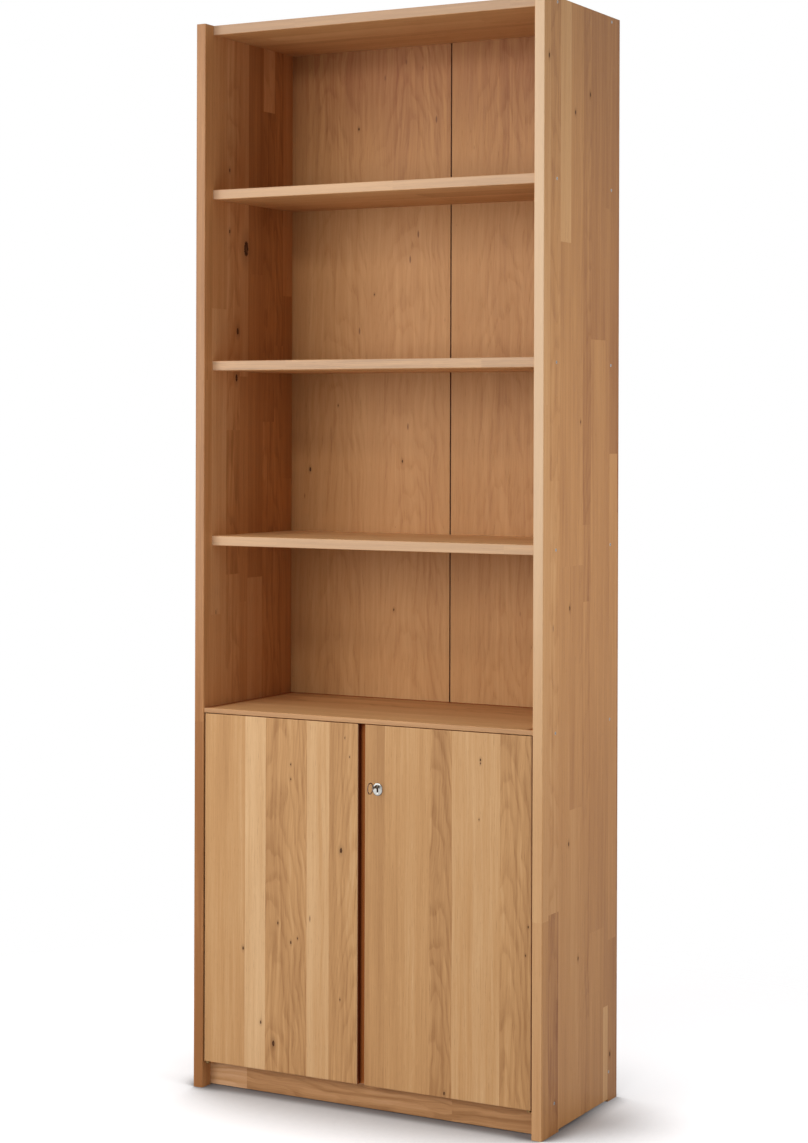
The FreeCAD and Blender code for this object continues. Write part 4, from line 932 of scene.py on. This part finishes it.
LAMPS = (  # name, place, aim, size, power in watts
    ("softbox", (-1.3, -3.3, 1.8), (0.0, 0.0, 1.15), (2.5, 1.8), 88),
    ("key", (-0.35, -1.9, 2.46), (0.0, 0.0, 1.7), (0.22, 0.22), 7),
    ("side_box", (1.85, 0.0, 1.28), (0.4, 0.0, 1.28), (1.2, 0.9), 15),
    ("overhead", (0.0, -0.2, 4.6), (0.0, 0.0, 0.0), (3.0, 3.0), 30))
WHITE = (1, 1, 1, 1)
AIR_STRENGTH = 0.22  # of the light that comes from all round; the camera sees plain white there
FLOOR_REACH = 14
FLOOR_MATT = (0.8, 0.79, 0.79, 1)  # for the light that the floor gives back to the object
# the floor's colour as seen, in the open and in the painted contact shadow where the object touches it
FLOOR_OPEN, FLOOR_CONTACT = (0.52, 0.51, 0.51, 1), (0.06, 0.045, 0.045, 1)
GLOW_COLOR, GLOW = (1, 0.99, 1, 1), 0.79  # what the open floor adds to its colour, so that it reaches white
WIDE_SHADOW, CONTACT_SHADOW = 0.45, 0.06  # how far from the object each starts
SHADOW_LEAN = (-0.07, -0.12, 0.99)
WHITE_FROM, WHITE_ALL = 0.9, 1.7  # distance from the middle of the floor


def add_lamp(name, place, aim, size, power):
    data = bpy.data.lights.new(name, "AREA")
    data.shape = "RECTANGLE"
    data.size, data.size_y = size
    data.energy = power
    light = bpy.data.objects.new(name, data)
    light.location = place
    light.rotation_euler = (Vector(aim) - Vector(place)).to_track_quat("-Z", "Y").to_euler()
    bpy.context.scene.collection.objects.link(light)


def make_world():
    world = bpy.data.worlds.new("world")
    bpy.context.scene.world = world
    world.use_nodes = True
    world.node_tree.nodes.clear()
    t = Tree(world.node_tree)
    air = t.add("ShaderNodeBackground", {"Color": WHITE, "Strength": AIR_STRENGTH})
    white = t.add("ShaderNodeBackground", {"Color": WHITE, "Strength": 1.0})
    t.surface(t.choose(t.seen(), air, white), "ShaderNodeOutputWorld")


def floor_material():
    """Near the object the floor darkens into its shadow; further out it runs into the white of the room."""
    material, t = new_material("floor")
    matt = t.add("ShaderNodeBsdfDiffuse", {"Color": FLOOR_MATT})
    place = t.add("ShaderNodeTexCoord").outputs["Object"]
    # the soft shadow leans to the right and the rear, away from the softbox
    open_sky = t.openness(WIDE_SHADOW, 16, Normal=t.join(*SHADOW_LEAN))
    shadow = t.range(open_sky, 0.52, 0.96, 0.0, GLOW, smooth=True)
    # it is strongest before the object, and paler to its left and behind it
    across, along, _ = t.split(place)
    beside = t.times(t.range(across, -0.38, -0.46), t.range(along, -0.24, -0.08, 0.0, 0.7))
    paler = t.math("MAXIMUM", beside, t.range(along, -0.02, 0.20, 0.08, 0.6, smooth=True))
    shadow = t.plus(shadow, t.times(t.minus(GLOW, shadow), paler))
    contact = t.range(t.openness(CONTACT_SHADOW, 8), 0.45, 0.92, 0.35, 1.0, smooth=True)
    glow = t.add("ShaderNodeEmission", {"Color": GLOW_COLOR, "Strength": t.times(shadow, contact)})
    shaded = t.add("ShaderNodeBsdfDiffuse", {"Color": t.mix(contact, FLOOR_CONTACT, FLOOR_OPEN)})
    near = t.add("ShaderNodeAddShader", {0: shaded.outputs[0], 1: glow.outputs[0]})
    away = t.range(t.vector("LENGTH", place), WHITE_FROM, WHITE_ALL, smooth=True)
    faded = t.choose(away, near, t.add("ShaderNodeBsdfTransparent"))
    t.surface(t.choose(t.seen(), matt, faded))
    return material


def make_floor():
    mesh = bpy.data.meshes.new("floor")
    corners = [(x * FLOOR_REACH, y * FLOOR_REACH, 0) for x, y in ((-1, -1), (1, -1), (1, 1), (-1, 1))]
    mesh.from_pydata(corners, [], [(0, 1, 2, 3)])
    mesh.materials.append(floor_material())
    floor = bpy.data.objects.new("floor", mesh)
    bpy.context.scene.collection.objects.link(floor)


make_camera()
for lamp in LAMPS:
    add_lamp(*lamp)
make_world()
make_floor()
bpy.context.scene.view_settings.view_transform = "Standard"
